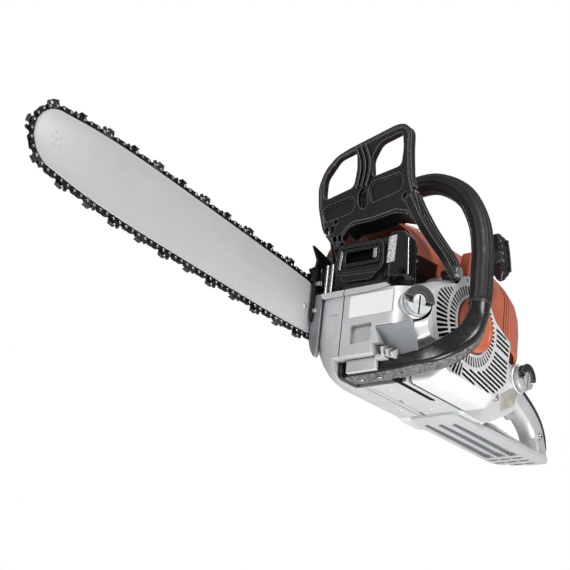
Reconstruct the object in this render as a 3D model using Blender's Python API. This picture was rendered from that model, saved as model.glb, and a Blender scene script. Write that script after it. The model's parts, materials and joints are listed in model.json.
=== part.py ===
"""A petrol chainsaw with a 50 cm guide bar, as separate closed solids.

Frame: +X forward along the guide bar, +Y to the operator's left, +Z up. The origin lies under the
crankshaft axis, on the plane the saw rests on. Sizes below are in millimetres; MM turns them into metres.
"""
import math

import bmesh
import bpy
import numpy as np
from mathutils import Matrix, Vector

MM = 0.001
GAP = 0.4                     # clearance between neighbouring pieces

# Crank train
CRANK_Z = 82.6                # height of the crankshaft axis
CRANK_THROW = 20.0
ROD_LENGTH = 62.0
BORE_RADIUS = 27.0
PISTON_RADIUS = BORE_RADIUS - GAP
SHAFT_RADIUS = 8.5
WEB_RADIUS = 27.0
WRIST_Z = CRANK_Z + CRANK_THROW + ROD_LENGTH
PISTON_HALF_HEIGHT = 14.0
CROWN_Z = WRIST_Z + PISTON_HALF_HEIGHT + 1.4   # roof of the combustion chamber
CYLINDER_FOOT = 122.0
FIN_COUNT, FIN_PITCH, FIN_THICKNESS = 8, 9.5, 3.4
HEAD_TOP = CYLINDER_FOOT + (FIN_COUNT - 1) * FIN_PITCH + FIN_THICKNESS
VALVE_PLACE = (20.0, 20.0)    # X and Y of the decompression valve

# Guide bar and chain
BAR_Y = -59.1                 # centre plane of bar and chain
BAR_TILT = math.radians(4.13)
BAR_HALF_THICKNESS = 2.2
BAR_TAIL = 42.0               # distance of the bar's rear end from the crankshaft axis
BAR_TIP = 561.0
NOSE_RADIUS = 33.0
BAR_WIDTHS = ((42.0, 23.0), (120.0, 32.0), (250.0, 36.2), (400.0, 39.6), (500.0, 35.5), (528.0, 33.0))
CHAIN_PIN_OFFSET = 3.6        # rivet line above the bar's edge
SPROCKET_PIN_RADIUS = 21.2
CHAIN_HALF_WIDTH = 3.3
CHAIN_INNER = 2.9             # the chain's body reaches this far below and above its rivet line
CHAIN_OUTER = 3.6
CUTTER_HEIGHT = 5.0           # above the chain's body
RIM_TEETH, RIM_TIP, RIM_ROOT = 7, 17.7, 15.4
NOSE_TEETH, NOSE_TIP, NOSE_ROOT = 11, 19.8, 17.0
NOSE_AXIS_AHEAD = 12.0        # the nose sprocket's axis, ahead of the rounded end's centre
STUD_PLACES = (43.5, 64.0)    # along the bar, from the crankshaft axis
STUD_RADIUS = 4.0

# Housings
CASE_FRONT = 115.0
CASE_REAR = -62.0
CASE_RIGHT = -50.0
CASE_LEFT = 58.0
CASE_TOP = 101.0
ENGINE_TOP = 121.6
FAN_FACE = 103.0
FAN_INNER = 58.4
WALL = 3.0
COVER_FACE, COVER_FOOT = -86.0, -64.4   # the sprocket cover's outer face and its rim
BADGE_RADIUS = 32.0
BADGE_HEIGHT = 8.6
SLOT_RINGS = ((38.0, 52.0, 20), (57.0, 71.0, 26))   # inner radius, outer radius and number of slots
SLOT_WIDTH = 5.0
MUFFLER_LOW, MUFFLER_HIGH = (60.0, -20.0, 103.0), (112.0, 57.6, 168.0)
HANDLE_TUBE_RADIUS = 13.4     # over the rubber sleeve
BARE_TUBE_RADIUS = 11.8
TUBE_UNDER_SLEEVE = 9.6
HANDLE_X = 35.0
HANDLE_Y = 135.0
HANDLE_CHANNEL_X = 76.0
GUARD_PIVOT = (44.0, 134.0)   # X and Z
GUARD_X = 88.0                # of the plate's middle, at GUARD_BASE_Z
GUARD_BASE_Z = 165.0
GUARD_LEAN = 0.17
GRIP_CENTRE_Y = 17.0
GRIP_HALF_WIDTH = 15.0
COVER_GAP, COVER_TOP = 0.4, 4.0   # the rear handle's cover strip, above the grip
PULL_DIRECTION = (-0.957, 0.0, 0.29)
STARTER_GRIP_CENTRE = (-62.0, 95.0, 197.0)
KNOB_CENTRE = (-183.0, 0.0, 157.0)
KNOB_AXIS = (-0.85, 0.0, 0.53)
FUEL_CAP_CENTRE = (-190.0, 54.0, 85.0)
OIL_CAP_CENTRE = (101.0, 91.5, 77.0)
OIL_CAP_AXIS = (0.5, 0.866, 0.0)

FAN_OUTLINE = ((54, 1), (58, 33), (92, 35), (98, 50), (93, 100), (66, 118), (50, 124), (30, 141), (16, 147),
               (-20, 143), (-40, 124), (-52, 111), (-96, 99), (-87, 16), (-52, 1))
TANK_OUTLINE = ((-70.4, 6), (-70.4, 94), (-76, 99), (-192, 99), (-202, 90), (-194, 60), (-186, 40),
                (-132, 10), (-115, 4), (-76, 4))
FOOT_OUTLINE = ((-63.5, -20), (-84, -29), (-256, -30), (-272, -25), (-281, -12), (-284, 6), (-281, 52),
                (-136, 46), (-63.5, 40))
REAR_GRIP_PATH = ((-190, 86), (-214, 79), (-240, 68), (-263, 56.5), (-279, 43), (-286, 27), (-287.6, 4))
SHROUD_SECTION = ((76, 104), (76, 166), (64, 186), (46, 204), (24, 212), (-24, 212), (-46, 204), (-64, 186),
                  (-72, 166), (-72, 104))

COLOURS = {
    "magnesium": ((0.72, 0.73, 0.74), 0.42, 0.35),
    "orange_plastic": ((0.75, 0.22, 0.09), 0.38, 0.0),
    "black_plastic": ((0.02, 0.02, 0.022), 0.45, 0.0),
    "rubber": ((0.015, 0.015, 0.016), 0.75, 0.0),
    "bar_steel": ((0.58, 0.58, 0.60), 0.35, 0.9),
    "dark_steel": ((0.06, 0.06, 0.065), 0.4, 0.9),
    "steel": ((0.5, 0.5, 0.5), 0.3, 1.0),
    "aluminium": ((0.6, 0.6, 0.62), 0.45, 0.9),
    "label": ((0.85, 0.85, 0.85), 0.5, 0.0),
    "filter_paper": ((0.75, 0.7, 0.55), 0.9, 0.0),
}


# ---------------------------------------------------------------- modelling helpers

def material(slot):
    """The shared Principled material of one finish."""
    found = bpy.data.materials.get(slot)
    if found:
        return found
    colour, roughness, metallic = COLOURS[slot]
    made = bpy.data.materials.new(slot)
    made.use_nodes = True
    shader = made.node_tree.nodes["Principled BSDF"]
    shader.inputs["Base Color"].default_value = (*colour, 1.0)
    shader.inputs["Roughness"].default_value = roughness
    shader.inputs["Metallic"].default_value = metallic
    made.diffuse_color = (*colour, 1.0)
    return made


def finish(name, mesh, slot):
    """Point the mesh's faces outward and link it as an object."""
    bmesh.ops.recalc_face_normals(mesh, faces=mesh.faces)
    data = bpy.data.meshes.new(name)
    mesh.to_mesh(data)
    mesh.free()
    data.materials.append(material(slot))
    made = bpy.data.objects.new(name, data)
    bpy.context.scene.collection.objects.link(made)
    return made


def loft(name, sections, slot):
    """A solid through rings of points, each ring in millimetres and of equal count."""
    mesh = bmesh.new()
    rings = [[mesh.verts.new(Vector(p) * MM) for p in ring] for ring in sections]
    for low, high in zip(rings, rings[1:]):
        for i in range(len(low)):
            j = (i + 1) % len(low)
            mesh.faces.new((low[i], low[j], high[j], high[i]))
    mesh.faces.new(rings[0])
    mesh.faces.new(rings[-1])
    return finish(name, mesh, slot)


def placed(axis, u, v, w):
    """The point with in-plane coordinates u and v, at w along the axis."""
    return {"X": (w, u, v), "Y": (u, w, v), "Z": (u, v, w)}[axis]


def prism(name, outline, axis, low, high, slot):
    """An outline pushed along X (outline in Y, Z), Y (in X, Z) or Z (in X, Y)."""
    return loft(name, [[placed(axis, u, v, w) for u, v in outline] for w in (low, high)], slot)


def block(name, low, high, slot):
    outline = ((low[0], low[1]), (high[0], low[1]), (high[0], high[1]), (low[0], high[1]))
    return prism(name, outline, "Z", low[2], high[2], slot)


def circle(radius, count, centre=(0.0, 0.0)):
    turns = [2 * math.pi * (i + 0.5) / count for i in range(count)]
    return [(centre[0] + radius * math.cos(a), centre[1] + radius * math.sin(a)) for a in turns]


def disc(name, radius, axis, centre, low, high, slot, count=24):
    """A round bar along a frame axis; centre holds the two other coordinates."""
    return prism(name, circle(radius, count, centre), axis, low, high, slot)


def wheel_outline(centre, count, tooth):
    """A toothed outline; a tooth is a list of (radius, share of the pitch)."""
    outline = []
    for i in range(count):
        for radius, share in tooth:
            a = 2 * math.pi * (i + share) / count
            outline.append((centre[0] + radius * math.cos(a), centre[1] + radius * math.sin(a)))
    return outline


def lathe(name, profile, centre, axis, slot, count=24):
    """A profile of (radius, height) points turned about an axis through centre."""
    axis = Vector(axis).normalized()
    turn = Vector((0, 0, 1)).rotation_difference(axis).to_matrix()
    mesh = bmesh.new()
    rings = []
    for radius, height in profile:
        if radius == 0:
            rings.append([mesh.verts.new((Vector(centre) + turn @ Vector((0, 0, height))) * MM)])
            continue
        spots = [turn @ Vector((x, y, height)) for x, y in circle(radius, count)]
        rings.append([mesh.verts.new((Vector(centre) + spot) * MM) for spot in spots])
    for low, high in zip(rings, rings[1:] + rings[:1]):
        join_rings(mesh, low, high)
    return finish(name, mesh, slot)


def join_rings(mesh, low, high):
    """Faces between two rings, where a ring of one point is a pole."""
    if len(low) == 1 and len(high) == 1:
        return
    count = max(len(low), len(high))
    for i in range(count):
        j = (i + 1) % count
        corners = [low[i % len(low)], low[j % len(low)], high[j % len(high)], high[i % len(high)]]
        mesh.faces.new(list(dict.fromkeys(corners)))


def sweep(name, path, section, slot, across=None):
    """A section carried along a path in space; section(i) gives points along (side, up) of the path.

    The side direction follows the path without twisting, or stays as near as it can to across.
    """
    spots = [Vector(p) for p in path]
    rings = []
    side = None
    for i, spot in enumerate(spots):
        ahead = (spots[min(i + 1, len(spots) - 1)] - spots[max(i - 1, 0)]).normalized()
        if side is None:
            side = ahead.cross(Vector((0, 0, 1)))
            if side.length < 0.1:
                side = ahead.cross(Vector((1, 0, 0)))
        side = Vector(across) if across else side
        side = (side - ahead * side.dot(ahead)).normalized()
        up = side.cross(ahead)
        rings.append([spot + side * a + up * b for a, b in section(i)])
    return loft(name, rings, slot)


def smooth_path(points, per_span=4):
    """A Catmull-Rom curve through the points."""
    spots = [Vector(p) for p in points]
    spots = [2 * spots[0] - spots[1]] + spots + [2 * spots[-1] - spots[-2]]
    path = []
    for i in range(1, len(spots) - 2):
        a, b, c, d = spots[i - 1:i + 3]
        for k in range(per_span):
            t = k / per_span
            path.append(0.5 * (2 * b + (c - a) * t + (2 * a - 5 * b + 4 * c - d) * t ** 2
                               + (3 * b - a - 3 * c + d) * t ** 3))
    return path + [spots[-2]]


def inset(outline, depth):
    """The outline moved inward by depth, with mitred corners; the outline may run either way."""
    count = len(outline)
    area = sum(outline[i][0] * outline[(i + 1) % count][1] - outline[(i + 1) % count][0] * outline[i][1]
               for i in range(count))
    sign = 1 if area > 0 else -1
    moved = []
    for i in range(count):
        before, here, after = (Vector(outline[(i + k) % count]) for k in (-1, 0, 1))
        normals = []
        for start, end in ((before, here), (here, after)):
            along = (end - start).normalized()
            normals.append(Vector((-along.y, along.x)) * sign)
        middle = (normals[0] + normals[1]).normalized()
        moved.append(tuple(here + middle * depth / middle.dot(normals[0])))
    return moved


def combine(base, others, operation):
    """Apply Boolean operations to base and remove the other objects."""
    for other in others:
        step = base.modifiers.new("combine", "BOOLEAN")
        step.operation = operation
        step.solver = "EXACT"
        step.object = other
        bpy.context.view_layer.update()
        result = base.evaluated_get(bpy.context.evaluated_depsgraph_get())
        mesh = bpy.data.meshes.new_from_object(result)
        base.modifiers.clear()
        base.data = mesh
        bpy.data.objects.remove(other)
    return base


def cut(base, *cutters):
    return combine(base, cutters, "DIFFERENCE")


def unite(base, *others):
    return combine(base, others, "UNION")


def round_look(piece, angle=35):
    piece.data.shade_smooth()
    piece.data.set_sharp_from_angle(angle=math.radians(angle))
    return piece


def hang(name, origin, pieces):
    """Put the pieces under an empty that stands on their joint's axis, at origin."""
    pivot = bpy.data.objects.new("pivot_" + name, None)
    pivot.location = Vector(origin) * MM
    bpy.context.scene.collection.objects.link(pivot)
    for piece in pieces:
        piece.data.transform(Matrix.Translation(-pivot.location))
        piece.parent = pivot


# ---------------------------------------------------------------- bar and chain geometry

def bar_half_width(s):
    """Half the bar's width at a distance s from the crankshaft axis."""
    places, widths = zip(*BAR_WIDTHS)
    return float(np.polyval(np.polyfit(places, widths, 4), s))


def bar_place(s, t):
    """Frame X and Z of the point s along the bar and t above its centre line."""
    c, n = math.cos(BAR_TILT), math.sin(BAR_TILT)
    return s * c - t * n, CRANK_Z + s * n + t * c


def bar_edge(offset, tail=BAR_TAIL, steps=12, nose_steps=14):
    """Points (s, t) round the bar's front, from the lower tail to the upper tail, moved out by offset."""
    nose_centre = BAR_TIP - NOSE_RADIUS
    along = [tail + (nose_centre - tail) * i / steps for i in range(steps)]
    lower = [(s, -bar_half_width(s) - offset) for s in along]
    turns = [-math.pi / 2 + math.pi * i / nose_steps for i in range(nose_steps + 1)]
    radius = NOSE_RADIUS + offset
    nose = [(nose_centre + radius * math.cos(a), radius * math.sin(a)) for a in turns]
    return lower + nose + [(s, -t) for s, t in reversed(lower)]


def chain_loop(offset, tooth=0.0):
    """The chain's closed outline at an offset from its rivet line, with teeth of the given height."""
    front = bar_edge(CHAIN_PIN_OFFSET, tail=70.0, steps=24, nose_steps=8)
    turns = [math.radians(100 + 160 * i / 8) for i in range(9)]
    rear = [(SPROCKET_PIN_RADIUS * math.cos(a), SPROCKET_PIN_RADIUS * math.sin(a)) for a in turns]
    base = front + rear
    loop = inset(base, -offset)
    if tooth:
        loop = [point for i in range(len(loop)) for point in cutter_bump(loop, base, i, tooth)]
    return [bar_place(s, t) for s, t in loop]


def cutter_bump(loop, base, i, height):
    """The three points that raise a cutter on one stretch of the outline."""
    here, after = Vector(loop[i]), Vector(loop[(i + 1) % len(loop)])
    along = after - here
    outward = (here - Vector(base[i])).normalized()
    if along.length < 3.0:
        return [tuple(here)]
    return [tuple(here), tuple(here + along * 0.25 + outward * height), tuple(here + along * 0.6)]


# ---------------------------------------------------------------- crankcase and engine

def make_crankcase():
    side = ((CASE_REAR, 8), (-55, 0), (100, 0), (112, 8), (CASE_FRONT, 20), (CASE_FRONT, 96), (111, CASE_TOP),
            (58, CASE_TOP), (54, ENGINE_TOP), (-50, ENGINE_TOP), (CASE_REAR, 101))
    case = prism("crankcase", side, "Y", CASE_RIGHT, CASE_LEFT, "magnesium")
    across = ((CASE_RIGHT, 130), (CASE_RIGHT, 42), (-25, -1), (70, -1), (70, 130))
    combine(case, [prism("section", across, "X", -70, 120, "magnesium")], "INTERSECT")
    fairing = prism("fairing", ((101.5, 50), (CASE_FRONT, 50), (CASE_FRONT, 72), (105, 86), (101.5, 86)),
                    "Z", 34, 96, "magnesium")
    boss = lathe("boss", ((0, -14), (18, -14), (18, 0), (0, 0)), OIL_CAP_CENTRE, OIL_CAP_AXIS, "magnesium")
    pad = block("pad", (52, -56.4, 68), (104, -48, 108), "magnesium")
    ear = block("ear", (34, -42.6, 118), (54, -39, 143), "magnesium")
    unite(case, fairing, boss, pad, ear)
    axis = (0, CRANK_Z)
    cut(case,
        block("handle_channel", (58, -12, -5), (96, 70, 31), "magnesium"),
        disc("crank_chamber", 35, "Y", axis, -13, 13, "magnesium", 28),
        disc("seal_bore", SHAFT_RADIUS + 1, "Y", axis, -70, 70, "magnesium", 20),
        disc("bearing_seats", 16, "Y", axis, -24, 24, "magnesium", 24),
        disc("clutch_pocket", 37.6, "Y", axis, -60, -28, "magnesium", 32),
        disc("flywheel_pocket", 58, "Y", axis, 38, 70, "magnesium", 32),
        disc("cylinder_mouth", BORE_RADIUS + 0.6, "Z", (0, 0), 90, 130, "magnesium", 28),
        disc("pivot_hole", 4.4, "Y", GUARD_PIVOT, -46, -38.5, "magnesium", 12),
        block("front_pocket", (109, 3, 34), (120, 26, 56), "magnesium"),
        lathe("oil_neck", ((0, -11), (13, -11), (13, 3), (0, 3)), OIL_CAP_CENTRE, OIL_CAP_AXIS,
              "magnesium", 18))
    for place in STUD_PLACES:
        x, z = bar_place(place, 0)
        cut(case, disc("stud_hole", STUD_RADIUS + GAP, "Y", (x, z), -60, -46, "magnesium", 12))


def make_cylinder():
    """The finned barrel with its head in one piece."""
    fins = []
    for i in range(FIN_COUNT):
        base = CYLINDER_FOOT + i * FIN_PITCH
        fins += [(39, base), (39, base + FIN_THICKNESS), (31, base + FIN_THICKNESS), (31, base + FIN_PITCH)]
    right = fins[:-2]
    outline = right + [(-x, z) for x, z in reversed(right)]
    barrel = prism("cylinder", outline, "Y", -38, 38, "aluminium")
    cut(barrel,
        disc("bore", BORE_RADIUS, "Z", (0, 0), 118, CROWN_Z, "aluminium", 28),
        disc("plug_hole", 7, "Z", (0, 0), CROWN_Z - 3, HEAD_TOP + 5, "aluminium", 16),
        disc("valve_hole", 2.6, "Z", VALVE_PLACE, HEAD_TOP - 10, HEAD_TOP + 5, "aluminium", 10),
        disc("exhaust_port", 10, "X", (12, 138), 20, 45, "aluminium", 16),
        disc("intake_port", 8.6, "X", (0, 140), -45, -20, "aluminium", 16))


def make_piston_group():
    low, high = WRIST_Z - PISTON_HALF_HEIGHT, WRIST_Z + PISTON_HALF_HEIGHT
    roof = high - 4
    profile = ((0, high), (PISTON_RADIUS, high), (PISTON_RADIUS, low), (22.6, low), (22.6, roof), (0, roof))
    piston = lathe("piston", profile, (0, 0, 0), (0, 0, 1), "aluminium", 28)
    cut(piston, disc("pin_bore", 5.3, "Y", (0, WRIST_Z), -30, 30, "aluminium", 16))
    pin = disc("wrist_pin", 5, "Y", (0, WRIST_Z), -23, 23, "steel", 16)
    hang("piston", (0, 0, WRIST_Z), [round_look(piston), round_look(pin)])


def make_rod_group():
    low = WRIST_Z - ROD_LENGTH
    shank = ((-4, low), (4, low), (3.2, WRIST_Z), (-3.2, WRIST_Z))
    rod = prism("connecting_rod", shank, "Y", -3.5, 3.5, "steel")
    unite(rod, disc("big_end", 11.5, "Y", (0, low), -4.6, 4.6, "steel", 20),
          disc("small_end", 8.5, "Y", (0, WRIST_Z), -4.2, 4.2, "steel", 16))
    cut(rod, disc("big_hole", 6.4, "Y", (0, low), -6, 6, "steel", 16),
        disc("small_hole", 5.4, "Y", (0, WRIST_Z), -6, 6, "steel", 16))
    pin = disc("crank_pin", 6, "Y", (0, low), -4.9, 4.9, "steel", 16)
    hang("connecting_rod", (0, 0, WRIST_Z), [round_look(rod), round_look(pin)])


def half_shaft(name, profile, direction):
    return round_look(lathe(name, profile, (0, 0, CRANK_Z), (0, direction, 0), "steel", 20))


def make_crank_group():
    left = half_shaft("crankshaft_left", ((0, 5.3), (WEB_RADIUS, 5.3), (WEB_RADIUS, 12), (SHAFT_RADIUS, 12),
                                          (SHAFT_RADIUS, 43), (6.6, 43), (6.6, 71), (0, 71)), 1)
    right = half_shaft("crankshaft_right", ((0, 5.3), (WEB_RADIUS, 5.3), (WEB_RADIUS, 12), (SHAFT_RADIUS, 12),
                                            (SHAFT_RADIUS, 28), (6.6, 28), (6.6, 70), (0, 70)), -1)
    blade = ((30, 0.0), (53, 0.3), (53, 0.5), (30, 0.6))
    flywheel = prism("flywheel", wheel_outline((0, CRANK_Z), 14, blade), "Y", 50, 64, "aluminium")
    unite(flywheel, disc("rim", 54, "Y", (0, CRANK_Z), 44, 52, "aluminium", 32))
    cut(flywheel, disc("hub_bore", 7.0, "Y", (0, CRANK_Z), 40, 70, "aluminium", 20))
    nut = prism("flywheel_nut", circle(11, 6, (0, CRANK_Z)), "Y", 64.6, 70, "steel")
    cut(nut, disc("nut_bore", 7.0, "Y", (0, CRANK_Z), 60, 75, "steel", 20))
    shoe = ((29.5, 0.06), (30.5, 0.3), (30.5, 0.6), (29.5, 0.84), (14, 0.92))
    hub = prism("clutch_hub", wheel_outline((0, CRANK_Z), 3, shoe), "Y", -46, -32, "dark_steel")
    cut(hub, disc("hub_bore", 7.0, "Y", (0, CRANK_Z), -50, -30, "dark_steel", 20))
    hang("crankshaft", (0, 0, CRANK_Z), [left, right, flywheel, nut, hub])


def make_drum_group():
    profile = ((31.4, 31), (34, 31), (34, 50), (13.5, 50), (13.5, 66), (7.1, 66), (7.1, 47.6), (31.4, 47.6))
    drum = round_look(lathe("clutch_drum", profile, (0, 0, CRANK_Z), (0, -1, 0), "dark_steel", 32))
    tooth = ((RIM_TIP, 0.1), (RIM_TIP, 0.5), (RIM_ROOT, 0.65), (RIM_ROOT, 0.95))
    rim = prism("rim_sprocket", wheel_outline((0, CRANK_Z), RIM_TEETH, tooth), "Y", BAR_Y - 4.5, BAR_Y + 4.5,
                "steel")
    cut(rim, disc("spline_bore", 13.9, "Y", (0, CRANK_Z), -70, -50, "steel", 24))
    hang("clutch_drum", (0, 0, CRANK_Z), [drum, rim])


def make_bearings():
    profile = ((SHAFT_RADIUS + GAP, 13.4), (15.5, 13.4), (15.5, 23.4), (SHAFT_RADIUS + GAP, 23.4))
    for name, direction in (("main_bearing_left", 1), ("main_bearing_right", -1)):
        round_look(lathe(name, profile, (0, 0, CRANK_Z), (0, direction, 0), "steel", 20))


def make_brake_band():
    """An open steel band round the clutch drum."""
    opening = 2
    outer = circle(36.8, 28, (0, CRANK_Z))[opening:]
    inner = circle(35.0, 28, (0, CRANK_Z))[opening:]
    prism("brake_band", outer + inner[::-1], "Y", -46, -34, "dark_steel")


def make_top_end():
    """Spark plug, its boot and the decompression valve, above the cylinder head."""
    top = HEAD_TOP
    plug = ((0, CROWN_Z), (6.4, CROWN_Z), (6.4, top + 0.4), (10, top + 0.4), (10, top + 3.6),
            (4.5, top + 3.6), (4.5, top + 8), (0, top + 8))
    round_look(lathe("spark_plug", plug, (0, 0, 0), (0, 0, 1), "steel", 14))
    low = top + 4
    boot = ((5.2, low), (8.5, low), (8.5, low + 5.5), (6, low + 7.5), (0, low + 7.5), (0, low + 5),
            (5.2, low + 5))
    round_look(lathe("spark_plug_boot", boot, (0, 0, 0), (0, 0, 1), "rubber", 14))
    shoulder = top + 4.6
    button = ((0, top - 4), (2.1, top - 4), (2.1, shoulder), (5.5, shoulder), (5.5, top + 21), (0, top + 21))
    valve = lathe("decompression_valve", button, (*VALVE_PLACE, 0), (0, 0, 1), "black_plastic", 14)
    hang("decompression_valve", (*VALVE_PLACE, shoulder), [round_look(valve)])


def make_muffler():
    """The silencer box in front of the cylinder, and the frame round its outlet."""
    body = block("muffler_body", MUFFLER_LOW, MUFFLER_HIGH, "black_plastic")
    low = [side + WALL for side in MUFFLER_LOW]
    high = [side - WALL for side in MUFFLER_HIGH]
    unite(body, block("shield", (79, 57, 118.5), (MUFFLER_HIGH[0], 78, 166), "black_plastic"))
    cut(body, block("chamber", low, high, "black_plastic"),
        block("shield_space", (82, 54, 121.5), (109, 75, 163), "black_plastic"),
        disc("inlet", 10, "X", (12, 138), 50, 70, "black_plastic", 16),
        block("outlet_window", (105, -8, 126), (120, 38, 156), "black_plastic"))
    frame = prism("muffler_outlet", ((-14, 118), (-18, 126), (-16, 158), (-10, 163), (42, 165), (47, 160),
                                     (48, 128), (42, 120)), "X", 112.4, 117, "black_plastic")
    cut(frame, block("mouth", (110, -8, 130), (120, 38, 153), "black_plastic"))


def make_induction():
    """Intake manifold, carburettor and air filter, in line behind the cylinder."""
    manifold = ((8.8, 0), (12.5, 0), (12.5, 19.2), (8.8, 19.2))
    round_look(lathe("intake_manifold", manifold, (-58.8, 0, 140), (1, 0, 0), "rubber", 18))
    carb = block("carburettor", (-98, -20, 122), (-59.2, 20, 162), "aluminium")
    cut(carb, disc("venturi", 8.5, "X", (0, 140), -105, -50, "aluminium", 16))
    filter_profile = ((13, 0), (35, 0), (35, 48), (0, 48), (0, 40), (24, 40), (24, 3), (13, 3))
    round_look(lathe("air_filter", filter_profile, (-108.5, 0, 150), (-1, 0, 0), "filter_paper", 20))
    block("ignition_module", (42, 40, 122), (58, 57, 138), "black_plastic")


# ---------------------------------------------------------------- starter side

def radial_slot(radius_in, radius_out, angle):
    """A short radial slot through the fan housing's face."""
    half = math.atan2(SLOT_WIDTH / 2, (radius_in + radius_out) / 2)
    corners = [(radius_in, angle - half), (radius_out, angle - half), (radius_out, angle + half),
               (radius_in, angle + half)]
    outline = [(r * math.cos(a), CRANK_Z + r * math.sin(a)) for r, a in corners]
    return prism("slot", outline, "Y", FAN_FACE - 6, FAN_FACE + 4, "magnesium")


def make_fan_housing():
    housing = prism("fan_housing", FAN_OUTLINE, "Y", FAN_INNER, FAN_FACE, "magnesium")
    cut(housing, prism("inside", inset(FAN_OUTLINE, WALL), "Y", FAN_INNER - 5, FAN_FACE - WALL, "magnesium"))
    unite(housing, disc("ear", 10.5, "Y", GUARD_PIVOT, 84, 99, "magnesium", 16),
          prism("rope_guide", ((-12, 135), (18, 135), (9, 176), (-9, 180)), "Y", 87, 101, "magnesium"))
    cut(housing,
        disc("ear_recess", 12.5, "Y", GUARD_PIVOT, 99, 110, "magnesium", 16),
        disc("bolt_hole", 4.4, "Y", GUARD_PIVOT, 70, 105, "magnesium", 12),
        disc("rope_hole", 2.6, "Z", (0, 94), 130, 190, "magnesium", 10),
        lathe("cap_clearance", ((0, -20), (21, -20), (21, 20), (0, 20)), OIL_CAP_CENTRE, OIL_CAP_AXIS,
              "magnesium"))
    for radius_in, radius_out, count in SLOT_RINGS:
        for i in range(count):
            angle = 2 * math.pi * (i + 0.5) / count
            if slot_fits(radius_out, angle):
                cut(housing, radial_slot(radius_in, radius_out, angle))


def slot_fits(radius_out, angle):
    """Whether a radial slot clears the housing's edge, the rope guide and the guard's ear."""
    spot = Vector((radius_out * math.cos(angle), CRANK_Z + radius_out * math.sin(angle)))
    under_rope_guide = radius_out > 60 and math.radians(62) < angle < math.radians(150)
    clear_of_ear = (spot - Vector(GUARD_PIVOT)).length > 18
    return inside(spot, inset(FAN_OUTLINE, 5)) and clear_of_ear and not under_rope_guide


def inside(spot, outline):
    """Whether a point lies in a polygon, by crossings to its right."""
    crossings = 0
    for (x0, z0), (x1, z1) in zip(outline, list(outline[1:]) + [outline[0]]):
        if (z0 > spot.y) != (z1 > spot.y) and spot.x < x0 + (spot.y - z0) * (x1 - x0) / (z1 - z0):
            crossings += 1
    return crossings % 2 == 1


def make_starter():
    rim = 2.5
    badge = ((0, 0), (BADGE_RADIUS, 0), (BADGE_RADIUS, BADGE_HEIGHT - rim),
             (BADGE_RADIUS - rim, BADGE_HEIGHT), (0, BADGE_HEIGHT))
    round_look(lathe("starter_badge", badge, (0, FAN_FACE + GAP, CRANK_Z), (0, 1, 0), "orange_plastic", 32))
    pulley = ((5, 76), (34, 76), (34, 79), (30, 80.5), (30, 85.5), (34, 87), (34, 90), (5, 90))
    made = round_look(lathe("starter_pulley", pulley, (0, 0, CRANK_Z), (0, 1, 0), "black_plastic", 24))
    hang("starter_pulley", (0, 0, CRANK_Z), [made])
    spring = ((11, 91), (29, 91), (29, 98), (11, 98))
    round_look(lathe("rewind_spring", spring, (0, 0, CRANK_Z), (0, 1, 0), "steel", 24))
    make_starter_grip()


def make_starter_grip():
    """A T-shaped handle whose cross bar bows round the fingers."""
    centre = Vector(STARTER_GRIP_CENTRE)
    pull = Vector(PULL_DIRECTION)
    bar = Vector((pull.z, 0, -pull.x))
    spots = [centre + bar * d - pull * (d / 30) ** 2 * 5 for d in (-29, -25, -14, 0, 14, 25, 29)]
    sizes = (6, 10, 12, 12.5, 12, 10, 6)
    grip = sweep("starter_grip", spots, lambda i: circle(sizes[i], 12), "black_plastic")
    stem = lathe("stem", ((0, 0), (9, 0), (5, 30), (0, 30)), centre, -pull, "black_plastic", 12)
    unite(grip, stem)
    hang("starter_grip", tuple(centre), [round_look(grip, 50)])


# ---------------------------------------------------------------- covers

def shroud_ring(x, height=1.0, width=1.0, depth=0.0):
    """The cover's cross-section at x, scaled about its lower edge, and drawn in by depth."""
    base = SHROUD_SECTION[0][1]
    ring = [(y * width, base + (z - base) * height) for y, z in SHROUD_SECTION]
    if depth:
        ring = inset(ring, depth)
        ring[0] = (ring[0][0], base - 6)
        ring[-1] = (ring[-1][0], base - 6)
    return [(x, y, z) for y, z in ring]


def make_shroud():
    sections = ((78, 0.93, 0.98), (60, 0.97, 1.0), (-104, 1.0, 1.0), (-107, 0.99, 0.99))
    shroud = loft("top_shroud", [shroud_ring(*s) for s in sections], "orange_plastic")
    hollow = [shroud_ring(x, h, w, 2.6) for x, h, w in ((84, 0.93, 0.98), (60, 0.97, 1.0), (-112, 1.0, 1.0))]
    outline = inset(FAN_OUTLINE, -0.8)
    cut(shroud, loft("hollow", hollow, "orange_plastic"),
        prism("fan_side", outline, "Y", 50, 120, "orange_plastic"),
        block("case_side", (-120, -80, 90), (90, -60, 154), "orange_plastic"),
        block("front_left", (40, 55, 90), (90, 90, 150), "orange_plastic"),
        disc("valve_opening", 8, "Z", VALVE_PLACE, 190, 230, "orange_plastic", 16))


def make_filter_cover():
    stations = ((-110, 1.0, 1.0), (-135, 0.955, 0.98), (-155, 0.84, 0.94), (-171, 0.62, 0.88),
                (-181, 0.36, 0.80), (-187, 0.12, 0.72))
    cover = loft("filter_cover", [shroud_ring(*s) for s in stations], "orange_plastic")
    inner = [shroud_ring(x + (3.0 if i else -8.0), h, w, 2.8) for i, (x, h, w) in enumerate(stations[:-1])]
    inner[0] = [(-100.0, y, z) for _, y, z in inner[0]]
    cut(cover, loft("hollow", inner, "orange_plastic"),
        lathe("knob_seat", ((0, -20), (4.6, -20), (4.6, 20), (0, 20)), (-172, 0, 150), KNOB_AXIS,
              "orange_plastic", 12))


def make_cover_knob():
    """A round knob on a screw that holds the filter cover."""
    profile = ((0, -12), (4, -12), (4, 3.0), (22, 3.0), (22, 9), (18, 13), (0, 13))
    knob = lathe("filter_cover_knob", profile, KNOB_CENTRE, KNOB_AXIS, "black_plastic", 18)
    hang("filter_cover_knob", KNOB_CENTRE, [round_look(knob)])


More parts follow.
